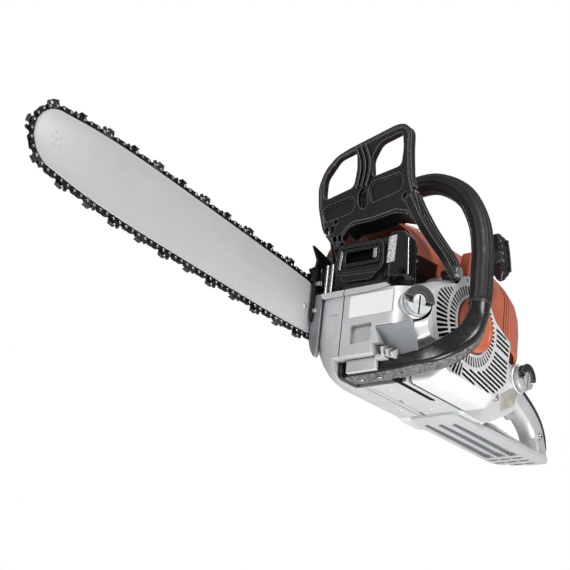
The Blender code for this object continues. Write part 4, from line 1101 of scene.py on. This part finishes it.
RIM_FROM = 17.0                # a turned part's rim is what lies further out than this
BAIL_INNER, BAIL_OUTER = 8.6, 18.2
BAIL_OVERRUN = 0.07            # radians past the half circle, at each end
DISC_RADIUS = 15.8             # of the raised half of a cap's face
DISC_GAP = 0.31                # radians short of the half circle, at each end


def cap_boss(centre, axis, radius, depth):
    profile = ((0, -depth), (radius - 1.5, -depth), (radius, -depth + 3), (radius, -1), (radius - 1, 0),
               (0, 0))
    return lathe(profile, centre, axis, 48)


def cap_frame(axis):
    """A cap's own directions: sideways, up across its face, and out."""
    out = Vector(axis).normalized()
    side = Vector((0, 0, 1)).cross(out).normalized()
    return side, out.cross(side), out


def carve_rim(mesh, centre, frame_here, depth):
    """Draw a turned part's rim inward by depth(angle) about its axis."""
    side, up, out = frame_here
    for vertex in mesh.verts:
        arm = vertex.co / MM - Vector(centre)
        reach = arm - out * arm.dot(out)
        if reach.length > RIM_FROM:
            turn = math.atan2(reach.dot(up), reach.dot(side))
            vertex.co -= reach.normalized() * depth(turn) * MM


def cap_ring(centre, axis, polar, height):
    """Points given by radius and angle across a cap's face, at a height over it."""
    side, up, out = cap_frame(axis)
    return [Vector(centre) + side * r * math.cos(a) + up * r * math.sin(a) + out * height for r, a in polar]


def make_cap(label, centre, axis, look):
    """A screw cap with a knurled rim, a domed centre with a slot, and a crescent lever folded against it."""
    profile = ((0, -8), (11.6, -8), (11.6, 0.4), (16.6, 0.4), (17.4, 1.2), (17.4, 5.2), (16.4, 6.4),
               (0, 6.4))
    body = lathe(profile, centre, axis, 60)
    carve_rim(body, centre, cap_frame(axis), lambda turn: 0.5 * (1 + math.cos(turn * 20)) / 2)
    dome = lathe(((0, 6), (8.2, 6), (8.2, 10.6), (7.4, 11.4), (0, 11.8)), centre, axis, 40)
    disc_arc = [(DISC_RADIUS, a) for a in np.linspace(math.pi + DISC_GAP, 2 * math.pi - DISC_GAP, 21)]
    half_disc = [cap_ring(centre, axis, disc_arc, w) for w in (6.2, 11.0)]
    groove = slab(centre, axis, (-1.0, 1.0), (-17, 6), (8.0, 14))
    tongue = cut(unite(dome, loft(half_disc)), groove)
    # Painted shade: a near-black slab at the bottom of the slot.
    key = slab(centre, axis, (-0.9, 0.9), (-15, 5), (7.0, 8.3))
    piece(label + "_cap_slot_shade", key, "shadow", label + "_cap")
    piece(label + "_cap_body", gather([body, tongue]), look, label + "_cap", label + "_cap", bevel=0.5)
    turns = np.linspace(-BAIL_OVERRUN, math.pi + BAIL_OVERRUN, 29)
    bail_arc = [(BAIL_OUTER, a) for a in turns] + [(BAIL_INNER, a) for a in turns[::-1]]
    crescent = [cap_ring(centre, axis, bail_arc, w) for w in (7.2, 12.6)]
    notch = slab(centre, axis, (-20, -9), (-4, 3), (7, 14))
    lever = cut(loft(crescent), notch)
    piece(label + "_cap_bail", lever, "black", label + "_cap_lever", label + "_cap_lever", bevel=0.6)


def slab(centre, axis, across, along, depth):
    """A box in a cap's own directions."""
    side, up, out = cap_frame(axis)
    ends = rectangle(across[0], along[0], across[1], along[1])
    return loft([[Vector(centre) + side * a + up * b + out * w for a, b in ends] for w in depth])


# ---------------- starter side

FAN_LOW, FAN_HIGH = corners("fan_housing")
FAN_OUTLINE = ((54, 1), (58, 33), (92, 35), (98, 50), (93, 100), (66, 118), (50, 124), (30, 141), (16, 147),
               (-20, 143), (-40, 124), (-52, 111), (-96, 99), (-93, 27), (-62, 1))
# The outline of its flat outer face.
FACE_OUTLINE = ((48, 13), (56, 41), (84, 42), (91, 52), (87, 96), (63, 112), (47, 118), (28, 135),
                (15, 141), (-18, 137), (-37, 119), (-49, 106), (-85, 90), (-81, 35), (-54, 13))
SLOT_AREA = inset(FACE_OUTLINE, 1.5)
SLOT_RINGS = ((34.0, 48.8, 52), (52.8, 76.0, 72))   # from, to and the number of slots
SLOT_SHARE = (0.64, 0.68)      # of the pitch that a slot takes up at its inner and its outer end
FIELD_SLOT, FIELD_STEP = 4.0, 6.1    # width and spacing of the parallel slots
FACE_THICKNESS = 0.9
BEND_START, BEND_END = 0.12, 0.88    # shares of the slope from the side walls to the flat face


def fan_ring(share, y, shrink=0.0):
    """A ring on the plane y, a share of the way from the housing's outline to its flat face's."""
    mixed = [(x0 + (x1 - x0) * share, z0 + (z1 - z0) * share)
             for (x0, z0), (x1, z1) in zip(FAN_OUTLINE, FACE_OUTLINE)]
    return [(x, y, z) for x, z in rounded(inset(mixed, shrink) if shrink else mixed, 5, 3)]


def inside(x, z, outline):
    """Whether a point lies in a polygon, by crossings to its right."""
    crossings = 0
    for (x0, z0), (x1, z1) in zip(outline, outline[1:] + outline[:1]):
        if (z0 > z) != (z1 > z) and x < x0 + (z - z0) * (x1 - x0) / (z1 - z0):
            crossings += 1
    return crossings % 2 == 1


def slot_through(start, end, first, last):
    """A round-ended slot through the fan housing's face, first wide at its start, last at its end."""
    a, b = Vector(start), Vector(end)
    along = (b - a).normalized()
    side = Vector((-along.y, along.x))
    near, far = side * first / 2, side * last / 2
    outline = [a + near * 0.7, a + near + along * 0.7, b + far - along * 0.8, b + far * 0.7, b - far * 0.7,
               b - far - along * 0.8, a - near + along * 0.7, a - near * 0.7]
    return prism([tuple(p) for p in outline], "Y", FAN_HIGH.y - 8, FAN_HIGH.y + 4)


def from_crank(offset):
    """A point given from the crank axis, in frame X and Z."""
    return Vector((offset.x, CRANK.z + offset.y))


def ring_slots():
    """Two rings of radial slots; the outer one gives way to the slanted field at the rear."""
    slots = []
    for near, far, count in SLOT_RINGS:
        for i in range(count):
            angle = 2 * math.pi * (i + 0.5) / count
            ray = Vector((math.cos(angle), math.sin(angle)))
            start, end = ray * near, ray * far
            spot = from_crank(end)
            clear = (spot - GUARD_AXIS).length > 17
            ringed = near < 50 or end.x > (18 if end.y < 0 else -6)
            while ringed and (end - start).length > 6 and not inside(*spot, SLOT_AREA):
                end = end - ray
                spot = from_crank(end)
            if clear and ringed and inside(*spot, SLOT_AREA):
                pitch = 2 * math.pi / count
                widths = [share * pitch * p.length for share, p in zip(SLOT_SHARE, (start, end))]
                slots.append(slot_through(from_crank(start), spot, *widths))
    return slots


def field_slots():
    """Long parallel slots from the rings to the housing's rear edge."""
    slots = []
    for k in range(26):
        height = 2 + FIELD_STEP * k
        start = 15 if height < CRANK.z else -9
        line = [(start - 1.0 * s, height - 0.2 * s) for s in range(110)]
        line = [p for p in line if inside(*p, SLOT_AREA) and math.hypot(p[0], p[1] - CRANK.z) > 53]
        if len(line) > 8:
            slots.append(slot_through(line[0], line[-1], FIELD_SLOT, FIELD_SLOT))
    return slots


def make_fan_housing():
    y0, y1 = FAN_LOW.y, FAN_HIGH.y
    shell = loft([fan_ring(0, y0), fan_ring(0, y1 - 18), fan_ring(BEND_START, y1 - 13),
                  fan_ring(BEND_END, y1 - 1.6), fan_ring(1, y1)])
    hollow = loft([fan_ring(0, y0 - 4, 3), fan_ring(0, y1 - 19, 3), fan_ring(BEND_START, y1 - 13.8, 3),
                   fan_ring(BEND_END, y1 - FACE_THICKNESS - 1.6, 1.6),
                   fan_ring(1, y1 - FACE_THICKNESS, 0.8)])
    ear = rod("Y", 5.6, GUARD_AXIS, y1 - 17, y1 - 4)
    guide = soft_prism([(-14, 132), (18, 132), (9, 176), (-9, 180)], 4, "Y", y1 - 16, y1 - 2)
    rim = lathe(((33.6, 0), (37, 0), (37, 1.6), (36, 2.2), (34.4, 2.2), (33.6, 1.6)),
                (0, y1 - 0.4, CRANK.z), (0, 1, 0), 72)
    shell = cut(shell, hollow)
    clearance = plug(20.5, -22, 20, OIL_CAP, OIL_AXIS, 48)
    ear_recess = rod("Y", 12.5, GUARD_AXIS, y1 - 4, y1 + 8)
    rope = rod("Z", 2.6, (0, y1 - 9), 130, 190, 20)
    shell = cut(shell, clearance, ear_recess, rope.copy(), gather(ring_slots()), gather(field_slots()),
                fan_grooves())
    piece("fan_housing_cover", shell, "white_casting", stands_for="fan_housing", bevel=0.2, segments=2)
    piece("guard_pivot_boss", ear, "black", bevel=0.8)
    piece("starter_rope_guide", cut(guide, rope), "orange", bevel=1.0)
    piece("fan_housing_rim", rim, "white_casting")
    make_fan_shade()
    make_screws("fan_housing_screws", [(x, y1 - 5, z) for x, z in ((-66, 16), (-86, 90))], (0, 1, 0), 4.4)
    make_badge()


def make_fan_shade():
    """A sheet of painted shade behind the slots, and the dark joint line where the housing meets the crankcase."""
    y0, y1 = FAN_LOW.y, FAN_HIGH.y
    shadow_sheet = [loft([fan_ring(0, y1 - 22, 4.2 + d), fan_ring(BEND_START, y1 - 15 - d, 4.4 + d),
                    fan_ring(1, y1 - 2.8 - d, 2 + d)]) for d in (0, 0.8)]
    piece("fan_inner_shadow_sheet", cut(*shadow_sheet), "shadow")
    joint = cut(loft([fan_ring(0, y0 + 0.6, -0.35), fan_ring(0, y0 + 1.6, -0.35)]),
                loft([fan_ring(0, y0 - 1, 1), fan_ring(0, y0 + 3, 1)]))
    piece("fan_housing_joint", joint, "shadow")


def fan_grooves():
    """Two curved joint lines round the front of the rings."""
    grooves = []
    for radius in (79, 83.5):
        ring = [(radius, a) for a in np.linspace(-0.75, 1.0, 30)]
        ring += [(radius + 0.8, a) for a in np.linspace(1.0, -0.75, 30)]
        outline = [(r * math.cos(a), CRANK.z + r * math.sin(a)) for r, a in ring]
        grooves.append(prism(outline, "Y", FAN_HIGH.y - 1.2, FAN_HIGH.y + 4))
    return gather(grooves)


def make_badge():
    low, high = corners("starter_badge")
    depth = high.y - low.y
    radius = (high.x - low.x) / 2
    profile = ((0, 0), (radius, 0), (radius, depth - 1.4), (radius - 1.4, depth), (radius - 6, depth),
               (radius - 7, depth - 0.8), (0, depth - 0.2))
    piece("starter_badge_disc", lathe(profile, (CRANK.x, low.y, CRANK.z), (0, 1, 0), 64), "orange",
          stands_for="starter_badge")


# ---------------- orange covers

SHROUD_LOW, SHROUD_HIGH = corners("top_shroud")
FILTER_HIGH = corners("filter_cover")[1]
KNOB, KNOB_AXIS = pivot("cover_knob_turn"), Vector(JOINTS["cover_knob_turn"]["axis"])
SHROUD_WALL = 2.6
SHROUD_SECTION = ((76, 104), (76, 166), (64, 186), (46, 204), (24, 212), (-24, 212), (-46, 204), (-64, 186),
                  (-72, 166), (-72, 104))
SECTION_RADII = [2, 11, 9, 12, 16, 16, 12, 9, 11, 2]
FILTER_STATIONS = ((FILTER_HIGH.x, 1.0, 1.0), (-128, 0.975, 0.97), (-145, 0.92, 0.925), (-159, 0.82, 0.86),
                   (-170, 0.66, 0.79), (-178, 0.48, 0.72), (-184, 0.28, 0.64), (-187, 0.12, 0.57))


def shroud_ring(x, height, width, depth=0.0):
    """The covers' rounded section at x, scaled about its lower edge and drawn in by depth."""
    base = SHROUD_SECTION[0][1]
    ring = [(y * width, base + (z - base) * height) for y, z in SHROUD_SECTION]
    if depth:
        ring = inset(ring, depth)
        ring[0] = (ring[0][0], base - 8)
        ring[-1] = (ring[-1][0], base - 8)
    return [(x, y, z) for y, z in rounded(ring, SECTION_RADII, 5)]


def make_shroud():
    front, rear = SHROUD_HIGH.x, SHROUD_LOW.x
    shroud = loft([shroud_ring(front, 0.93, 0.98), shroud_ring(60, 0.97, 1.0), shroud_ring(20, 0.995, 1.0),
                   shroud_ring(-40, 1.0, 1.0), shroud_ring(rear, 1.0, 1.0)])
    hollow = loft([shroud_ring(front + 6, 0.93, 0.98, SHROUD_WALL), shroud_ring(60, 0.97, 1.0, SHROUD_WALL),
                   shroud_ring(rear - 6, 1.0, 1.0, SHROUD_WALL)])
    fan_side = prism(inset(FAN_OUTLINE, -0.8), "Y", 50, 120)
    lower_side = prism(rectangle(-120, 90, 90, 154), "Y", -80, -60)
    corner = prism([(90, -38), (90, -90), (-20, -90)], "Z", 90, 176)
    front_left = prism(rectangle(40, 90, 90, 150), "Y", 55, 90)
    rope = rod("Z", 10, (-4, 95), 120, 200, 24)
    crease = wire([(front + 4, 77.4, 164), (0, 77.4, 168), (rear - 4, 77.4, 165)], 1.3, 8)
    ridge = wire([(front + 4, 56.5, 191), (0, 57, 194.5), (rear - 4, 57, 195)], 1.1, 8)
    valve = rod("Z", 8, (20, 20), 190, 230, 32)
    vents = [soft_prism(rectangle(x, -30, x + 5, 2), 2.2, "Z", 200, 230) for x in (-60, -48, -36)]
    shroud = cut(shroud, hollow, fan_side, lower_side, corner.copy(), front_left, valve, gather(vents),
                 crease, ridge, rope)
    piece("top_shroud_cover", shroud, "orange", stands_for="top_shroud", bevel=0.6, sharp=40)
    lip = loft([shroud_ring(front + 1.2, 0.925, 0.972), shroud_ring(front - 2.5, 0.93, 0.976)])
    space = loft([shroud_ring(front + 6, 0.93, 0.98, 3.4), shroud_ring(front - 8, 0.93, 0.98, 3.4)])
    below = prism(rectangle(40, 90, 90, 153), "Y", -100, 100)
    piece("top_shroud_front_lip", cut(lip, space, below, corner), "orange", bevel=0.5, sharp=40)
    screws = [hex_screw((x, y, z), (0, y / abs(y) * 0.5, 0.86), 3.6)
              for x, y, z in ((56, 56, 191), (-92, -57, 190))]
    piece("top_shroud_screws", gather(screws), "steel", bevel=0.2)


def make_filter_cover():
    cover = loft([shroud_ring(*station) for station in FILTER_STATIONS])
    inner = [shroud_ring(x + 3.0, h, w, 2.8) for x, h, w in FILTER_STATIONS[:-1]]
    inner[0] = [(FILTER_HIGH.x + 6, y, z) for _, y, z in inner[0]]
    seat = plug(4.6, -20, 20, (-172, 0, 150), KNOB_AXIS, 24)
    seams = []
    for x in (-113.5, -119.5):
        outer = loft([shroud_ring(x, 1.01, 1.012), shroud_ring(x - 2.2, 1.01, 1.012)])
        core = loft([shroud_ring(x + 2, 0.978, 0.965), shroud_ring(x - 4.2, 0.978, 0.965)])
        seams.append(cut(outer, core))
    vents = []
    for k in range(5):
        x = -140 - 6.5 * k
        vents.append(soft_prism([(x, 118), (x + 3, 118), (x + 1, 134 - 2 * k), (x - 2, 134 - 2 * k)], 1.2,
                                "Y", -90, -40))
    cover = cut(cover, loft(inner), seat, *seams, gather(vents))
    piece("filter_cover_shell", cover, "orange", stands_for="filter_cover", bevel=0.5, sharp=40)


def make_knob():
    """A round knob with finger scallops and a folded wire bail across its face."""
    profile = ((0, -12), (4, -12), (4, 3.0), (21, 3.0), (22, 4.2), (22, 8.6), (18.5, 12.6), (10, 13),
               (9, 11.6), (0, 11.6))
    knob = lathe(profile, KNOB, KNOB_AXIS, 96)
    out = KNOB_AXIS.normalized()
    side = Vector((0, 1, 0))
    up = out.cross(side)
    carve_rim(knob, KNOB, (side, up, out), lambda turn: 1.4 * max(0.0, math.cos(turn * 8)))
    piece("filter_cover_knob_body", knob, "black", "filter_cover_knob", "filter_cover_knob", bevel=0.4)
    arc = [KNOB + (side * math.cos(a) + up * math.sin(a)) * 13 + out * 13.4
           for a in np.linspace(0, math.pi, 17)]
    piece("filter_cover_knob_wire", wire(arc, 1.1), "steel", "filter_cover_knob")


# ---------------- starter grip

PULL = Vector(JOINTS["starter_pull"]["axis"]).normalized()


def make_starter_grip():
    """The T-shaped handle of the starter rope, bowed, with grip grooves and a rope collar."""
    low, high = corners("starter_grip")
    centre = Vector((-62.0, (low.y + high.y) / 2, 197.0))
    bar = Vector((PULL.z, 0, -PULL.x))
    along = np.linspace(-29.5, 29.5, 25)
    spots = [centre + bar * d - PULL * (d / 30) ** 2 * 5 for d in along]
    swell = [min(1.0, (1 - (abs(d) / 31.5) ** 4)) for d in along]
    grooves = [0.8 if i % 4 == 2 else 0.0 for i in range(len(along))]
    outline = rounded(rectangle(-10, -9, 10, 9), 6, 5)

    def section(i):
        across, up = ((half * swell[i] - grooves[i]) / 10 for half in (11.0, 11.4))
        return [(x * across, y * up) for x, y in outline]
    bar_mesh = sweep(spots, section, (0, 1, 0))
    stem = lathe(((0, 0), (9, 0), (8.2, 8), (5.6, 18), (5, 30), (3, 31), (0, 31)), centre, -PULL, 36)
    waist = []
    for d in (-15, 15):
        middle = centre + bar * d + Vector((0, 13.5, 0))
        waist.append(wire([middle - PULL * 3, middle + PULL * 3], 2.6, 16))
    piece("starter_grip_handle", cut(unite(bar_mesh, stem), *waist), "black", "starter_grip",
          "starter_grip", bevel=0.5, sharp=40)
    spots = [centre + bar * d + Vector((0, 11.4, 0)) + PULL * (4 - 2 * abs(d) / 20)
             for d in (-20, -8, 8, 20)]
    piece("starter_grip_rib", wire(spots, 1.4, 10), "enamel", "starter_grip")


# ---------------- tank, foot and rear handle

TANK_SIDE = 50.2               # Y of its left face
TANK_OUTLINE = ((-70.4, 6), (-70.4, 94), (-76, 99), (-192, 99), (-202, 90), (-194, 60), (-186, 40),
                (-132, 10), (-115, 4), (-76, 4))
FOOT_OUTLINE = ((-62, -20), (-84, -29), (-256, -30), (-272, -25), (-281, -12), (-284, 6), (-282, 47),
                (-136, 42), (-62, 40))
FOOT_RADII = [4, 14, 10, 8, 8, 10, 6, 8, 4]
FOOT_SLOT_TOP = 4.9
GRIP_CENTRE_Y = 17.0
REAR_GRIP_PATH = ((-186, 87), (-214, 79), (-240, 68), (-263, 56.5), (-279, 43), (-286, 27), (-287.6, 4))


def grip_section(swell):
    """The rear handle's section: flat cheeks, a rounded finger side and a broad back."""
    a, b = 14 + swell, 15
    outline = [(-a, -b * 0.5), (-a * 0.5, -b), (a * 0.4, -b), (a, -b * 0.62), (a, b * 0.7), (a * 0.75, b),
               (-a * 0.75, b), (-a, b * 0.6)]
    return rounded(outline, [7, 7, 6, 1.6, 2.5, 4, 5, 6], 4)


def make_tank():
    tank = prism(rounded(TANK_OUTLINE, [3, 3, 4, 6, 8, 14, 18, 18, 10, 4], 5), "Y", -46, 50)
    boss = cap_boss(FUEL_CAP, FUEL_AXIS, 19, 14)
    neck = plug(13, -12, 3, FUEL_CAP, FUEL_AXIS)
    seam = wire([(x, TANK_SIDE, z) for x, z in ((-70, 44), (-120, 46), (-150, 52), (-196, 60))], 0.8, 8)
    piece("fuel_tank", cut(unite(tank, boss), neck, seam), "white_casting", stands_for="tank_and_handle",
          bevel=3.0)
    panel = soft_prism(inset([(-150, 26), (-184, 45), (-194, 68), (-176, 70), (-150, 52)], 1.5), 5, "Y", 40,
                       50.8)
    piece("fuel_tank_window", panel, "clouded", bevel=0.8)
    make_screws("fuel_tank_screws", [(-96, TANK_SIDE, z) for z in (82, 20)], (0, 1, 0), 3.6)
    make_foot()
    make_rear_handle()


def make_foot():
    """The skid plate: long channels, a grid of drain slots at the rear, a raised front edge and left rim."""
    plate = prism(rounded(FOOT_OUTLINE, FOOT_RADII, 5), "Z", 0, 6)
    channels, walls = [], []
    for k in range(3):
        y = -24 + 18 * k
        outline = [(-92 - 4 * k, y + 3), (-88 - 4 * k, y + 11), (-240, y + 15), (-243, y)]
        channels.append(soft_prism(outline, 2.0, "Z", -3, FOOT_SLOT_TOP))
        walls.append(prism([(-94 - 4 * k, y + 3.2), (-94 - 4 * k, y + 3.8), (-240, y + 0.8),
                            (-240, y + 0.1)], "Z", 0.4, 4.8))
    slots = []
    for i, width in enumerate((5.5, 5.5, 4.5)):
        for k in range(3):
            x, y = -249 - 13.5 * i, -27 + 18 * k + 2 * i
            slots.append(soft_prism([(x, y), (x, y + 16), (x - width, y + 16), (x - width, y)], 1.4, "Z",
                                    -3, FOOT_SLOT_TOP))
    plate = cut(plate, gather(channels), gather(slots))
    piece("foot_plate", plate, "casting", bevel=0.4)
    # Painted shade: darker thin walls along the channels' sides.
    piece("foot_channel_walls", gather(walls), "painted_shade_casting")
    front = soft_prism([(-70, 1), (-61, 1), (-61, 11), (-66, 13), (-72, 8)], 1.5, "Y", -20, 38)
    wall = rounded([(-130, 5), (-138, 12), (-158, 13.4), (-197, 9), (-281, 5), (-281, 3), (-130, 3)], 1.0)
    flange = prism(wall, "Y", 37.4, 41.0)
    rim = sweep([(-131, 40, 5.4), (-139, 40, 11.6), (-158, 40, 13.2), (-197, 40.6, 9.2), (-280, 43.5, 5)],
                rounded(rectangle(-1.0, -2.0, 1.0, 2.0), 0.6), (0, 1, 0))
    # Painted shade: a darker panel in the flange's recess.
    piece("foot_flange_recess", prism(inset(wall, 1.6), "Y", 40.9, 41.3), "painted_shade_casting")
    keel = soft_prism([(-150, 5), (-150, 9), (-262, 9), (-276, 5)], 2, "Y", 8, 18)
    piece("foot_edges", gather([front, rim, flange, keel]), "casting", bevel=0.5)


def make_rear_handle():
    path = smooth_path([(x, GRIP_CENTRE_Y, z) for x, z in REAR_GRIP_PATH], 8)
    count = len(path) - 1
    handle = sweep(path, lambda i: grip_section(4 * between(i, 0.75 * count, count)))
    piece("rear_handle_shell", handle, "casting", bevel=0.6, sharp=40)
    strip_path = path[12:-6]
    strip = sweep(strip_path, rounded([(-12.4, 14.2), (13.4, 14.2), (12.4, 18.6), (-10, 18.6)], 1.6, 3))
    ribs = []
    for k in range(4, len(strip_path) - 3, 3):
        ribs.append(sweep(strip_path[k:k + 2], rounded([(-9, 18), (9, 18), (8, 19.2), (-8, 19.2)], 0.5, 2)))
    piece("rear_handle_strip", gather([strip] + ribs), "rubber", stands_for="rear_handle_cover", sharp=40)
    places = [(x, GRIP_CENTRE_Y + 15.2, z) for x, z in ((-206, 82), (-281, 36))]
    make_screws("rear_handle_screws", places, (0, 1, 0), 3.2)


def make_controls():
    """Trigger, lockout and master lever, each with rounded edges; the master lever has grip lines."""
    y = GRIP_CENTRE_Y
    finger = rounded([(-208, 59), (-213, 61), (-221, 57), (-229, 52), (-231.5, 46.5), (-227, 45),
                      (-219, 48), (-211, 50), (-207.5, 53)], 2.0)
    piece("throttle_trigger_blade", prism(finger, "Y", y - 5.0, y + 5.0), "casting", "throttle_trigger",
          "throttle_trigger", bevel=1.4)
    thumb = rounded([(-208, 102.7), (-208, 106.5), (-214, 109.5), (-228, 103), (-226.5, 96), (-216, 99.5)],
                    2)
    piece("trigger_lockout_blade", prism(thumb, "Y", y - 4.8, y + 4.8), "black", "trigger_lockout",
          "trigger_lockout", bevel=1.2)
    switch = rounded([(-197, 99.6), (-190, 99.6), (-190, 102.5), (-199, 112), (-203, 108)], 1.4)
    lever = prism(switch, "Y", y + 16, y + 23)
    lines = [prism(rectangle(-196.4 - 1.8 * k, 100, -195.8 - 1.8 * k, 115),
                   "Y", y + 15.6, y + 16.4) for k in range(3)]
    piece("master_lever_blade", cut(lever, gather(lines)), "orange", "master_lever", "master_lever",
          bevel=0.8)


# ---------------- right-hand side

COVER_LOW, COVER_HIGH = corners("sprocket_cover")
COVER_OUTLINE = ((5, 36), (33, 40), (52, 54), (68, 64), (78, 88), (78, 112), (66, 134), (30, 142),
                 (-45, 140), (-76, 112), (-80, 62), (-52, 36))
STUDS = (43.5, 64.0)


def cover_ring(depth, y):
    return [(x, y, z) for x, z in rounded(inset(COVER_OUTLINE, depth), 9, 4)]


def make_sprocket_cover():
    """The clutch and chain cover: domed edge, ribs, a raised boss for the two nuts."""
    face, foot = COVER_LOW.y, COVER_HIGH.y
    shell = loft([cover_ring(0, foot), cover_ring(0, face + 7), cover_ring(1.6, face + 3),
                  cover_ring(5.5, face + 0.6), cover_ring(7, face + 0.4)])
    hollow = loft([cover_ring(3, foot + 4), cover_ring(3, face + 8), cover_ring(7, face + 3)])
    exit_slot = prism(rectangle(40, 30, 120, 128), "Y", foot - 8.6, foot + 5)
    slots = []
    for k in range(6):
        x = -56 + 10 * k
        slots.append(soft_prism(rectangle(x, 74 + 3 * k, x + 4.5, 116), 2, "Y", face - 4, face + 6))
    shell = cut(shell, hollow, exit_slot, gather(slots))
    places = [bar_place(s, 0) for s in STUDS]
    pads = [rod("Y", 10.5, place, face - 0.2, foot + 1) for place in places]
    shell = cut(unite(shell, *pads), *[rod("Y", 4.6, place, face - 9, foot + 9, 24) for place in places])
    piece("sprocket_cover_shell", shell, "casting", stands_for="sprocket_cover", bevel=0.8)
    for label, (x, z) in zip(("rear", "front"), places):
        nut = rod("Y", 8.5, (x, z), face - 6.8, face - 1.6, 6)
        collar = lathe(((4.5, 0), (9.8, 0), (9.8, 0.8), (8.8, 1.3), (4.5, 1.3)), (x, face - 0.5, z),
                       (0, -1, 0), 36)
        nut = cut(nut, rod("Y", 4.4, (x, z), face - 10, face + 5, 20))
        piece("bar_nut_" + label + "_flanged", gather([nut, collar]), "steel", stands_for="bar_nut_" + label,
              bevel=0.5)
    arrow = prism([(-30, 126), (-12, 126), (-12, 122.5), (-2, 128), (-12, 133.5), (-12, 130), (-30, 130)],
                  "Y", face - 0.2, face + 0.8)
    piece("sprocket_cover_arrow", arrow, "casting", bevel=0.2)


def make_chain_catcher():
    low, high = corners("chain_catcher")
    hook = rounded([(88, 40), (102, 46), (104, 52), (98, 54), (86, 48)], 2)
    body = cut(prism(hook, "Y", low.y, high.y), rod("Y", 1.8, (94, 47.6), low.y - 3, high.y + 3, 16))
    piece("chain_catcher_hook", body, "aluminium", stands_for="chain_catcher", bevel=0.6)


# ---------------- camera, light and floor

CAMERA_PLACE = (1409.1, 1047.9, -553.0)
CAMERA_YAW, CAMERA_PITCH, CAMERA_ROLL = (math.radians(a) for a in (41.467, -21.432, 6.701))
CAMERA_LENS = 96.43
FLOOR_Z = -760.0
WORLD_STRENGTH = 0.36          # of the white surroundings; the camera sees them at full strength


def make_camera():
    back = Vector((math.cos(CAMERA_YAW) * math.cos(CAMERA_PITCH),
                   math.sin(CAMERA_YAW) * math.cos(CAMERA_PITCH), math.sin(CAMERA_PITCH)))
    level = Vector((0, 0, 1)).cross(back).normalized()
    up = back.cross(level)
    c, s = math.cos(CAMERA_ROLL), math.sin(CAMERA_ROLL)
    turned = Matrix((level * c + up * s, up * c - level * s, back)).transposed()
    data = bpy.data.cameras.new("camera")
    data.lens = CAMERA_LENS
    data.sensor_width = 36.0
    camera = shown("camera", data)
    camera.matrix_world = Matrix.Translation(Vector(CAMERA_PLACE) * MM) @ turned.to_4x4()
    bpy.context.scene.camera = camera


def area_light(name, place, target, size, power):
    data = bpy.data.lights.new(name, "AREA")
    data.size = size
    data.energy = power
    light = shown(name, data)
    light.location = place
    light.rotation_euler = (Vector(place) - Vector(target)).to_track_quat("Z", "Y").to_euler()


def make_lights():
    """White surroundings, a key light high on the starter side, a fill from below and a rim from behind."""
    world = bpy.data.worlds.new("studio")
    world.use_nodes = True
    tree = world.node_tree
    background = tree.nodes["Background"]
    seen = tree.nodes.new("ShaderNodeLightPath").outputs["Is Camera Ray"]
    strength = tree.nodes.new("ShaderNodeMapRange")
    strength.inputs["To Min"].default_value = WORLD_STRENGTH
    strength.inputs["To Max"].default_value = 1.0
    tree.links.new(seen, strength.inputs["Value"])
    tree.links.new(strength.outputs[0], background.inputs["Strength"])
    background.inputs["Color"].default_value = (1, 1, 1, 1)
    bpy.context.scene.world = world
    bpy.context.scene.view_settings.view_transform = "Standard"
    middle = (0.1, 0.0, 0.1)
    area_light("key", (0.5, 1.3, 1.1), middle, 0.7, 19)
    area_light("front", (1.7, 0.2, 0.5), middle, 0.6, 10)
    area_light("below", (0.1, 0.4, -0.7), middle, 0.6, 13)
    area_light("behind", (-0.9, -1.0, 0.9), middle, 0.9, 12)


def make_floor():
    mesh = bmesh.new()
    bmesh.ops.create_grid(mesh, x_segments=1, y_segments=1, size=6.0)
    data = settled(mesh, "floor")
    look = Look("floor_paper", (0.86, 0.86, 0.86), 0.8)
    look.tint(look.spread(look.noise(2, 3), 0, 0.2), (0.8, 0.8, 0.8))
    data.materials.append(look.material)
    floor = shown("floor", data)
    floor.location = (0, 0, FLOOR_Z * MM)


def main():
    dress_cad_nodes()
    make_bar()
    make_chain()
    make_guard()
    make_handlebar()
    make_muffler()
    make_spike()
    make_crankcase()
    make_cap("oil", OIL_CAP, OIL_AXIS, "grey_casting")
    make_cap("fuel", FUEL_CAP, FUEL_AXIS, "grey_casting")
    make_fan_housing()
    make_shroud()
    make_filter_cover()
    make_knob()
    make_starter_grip()
    make_tank()
    make_controls()
    make_sprocket_cover()
    make_chain_catcher()
    make_camera()
    make_lights()
    make_floor()


main()
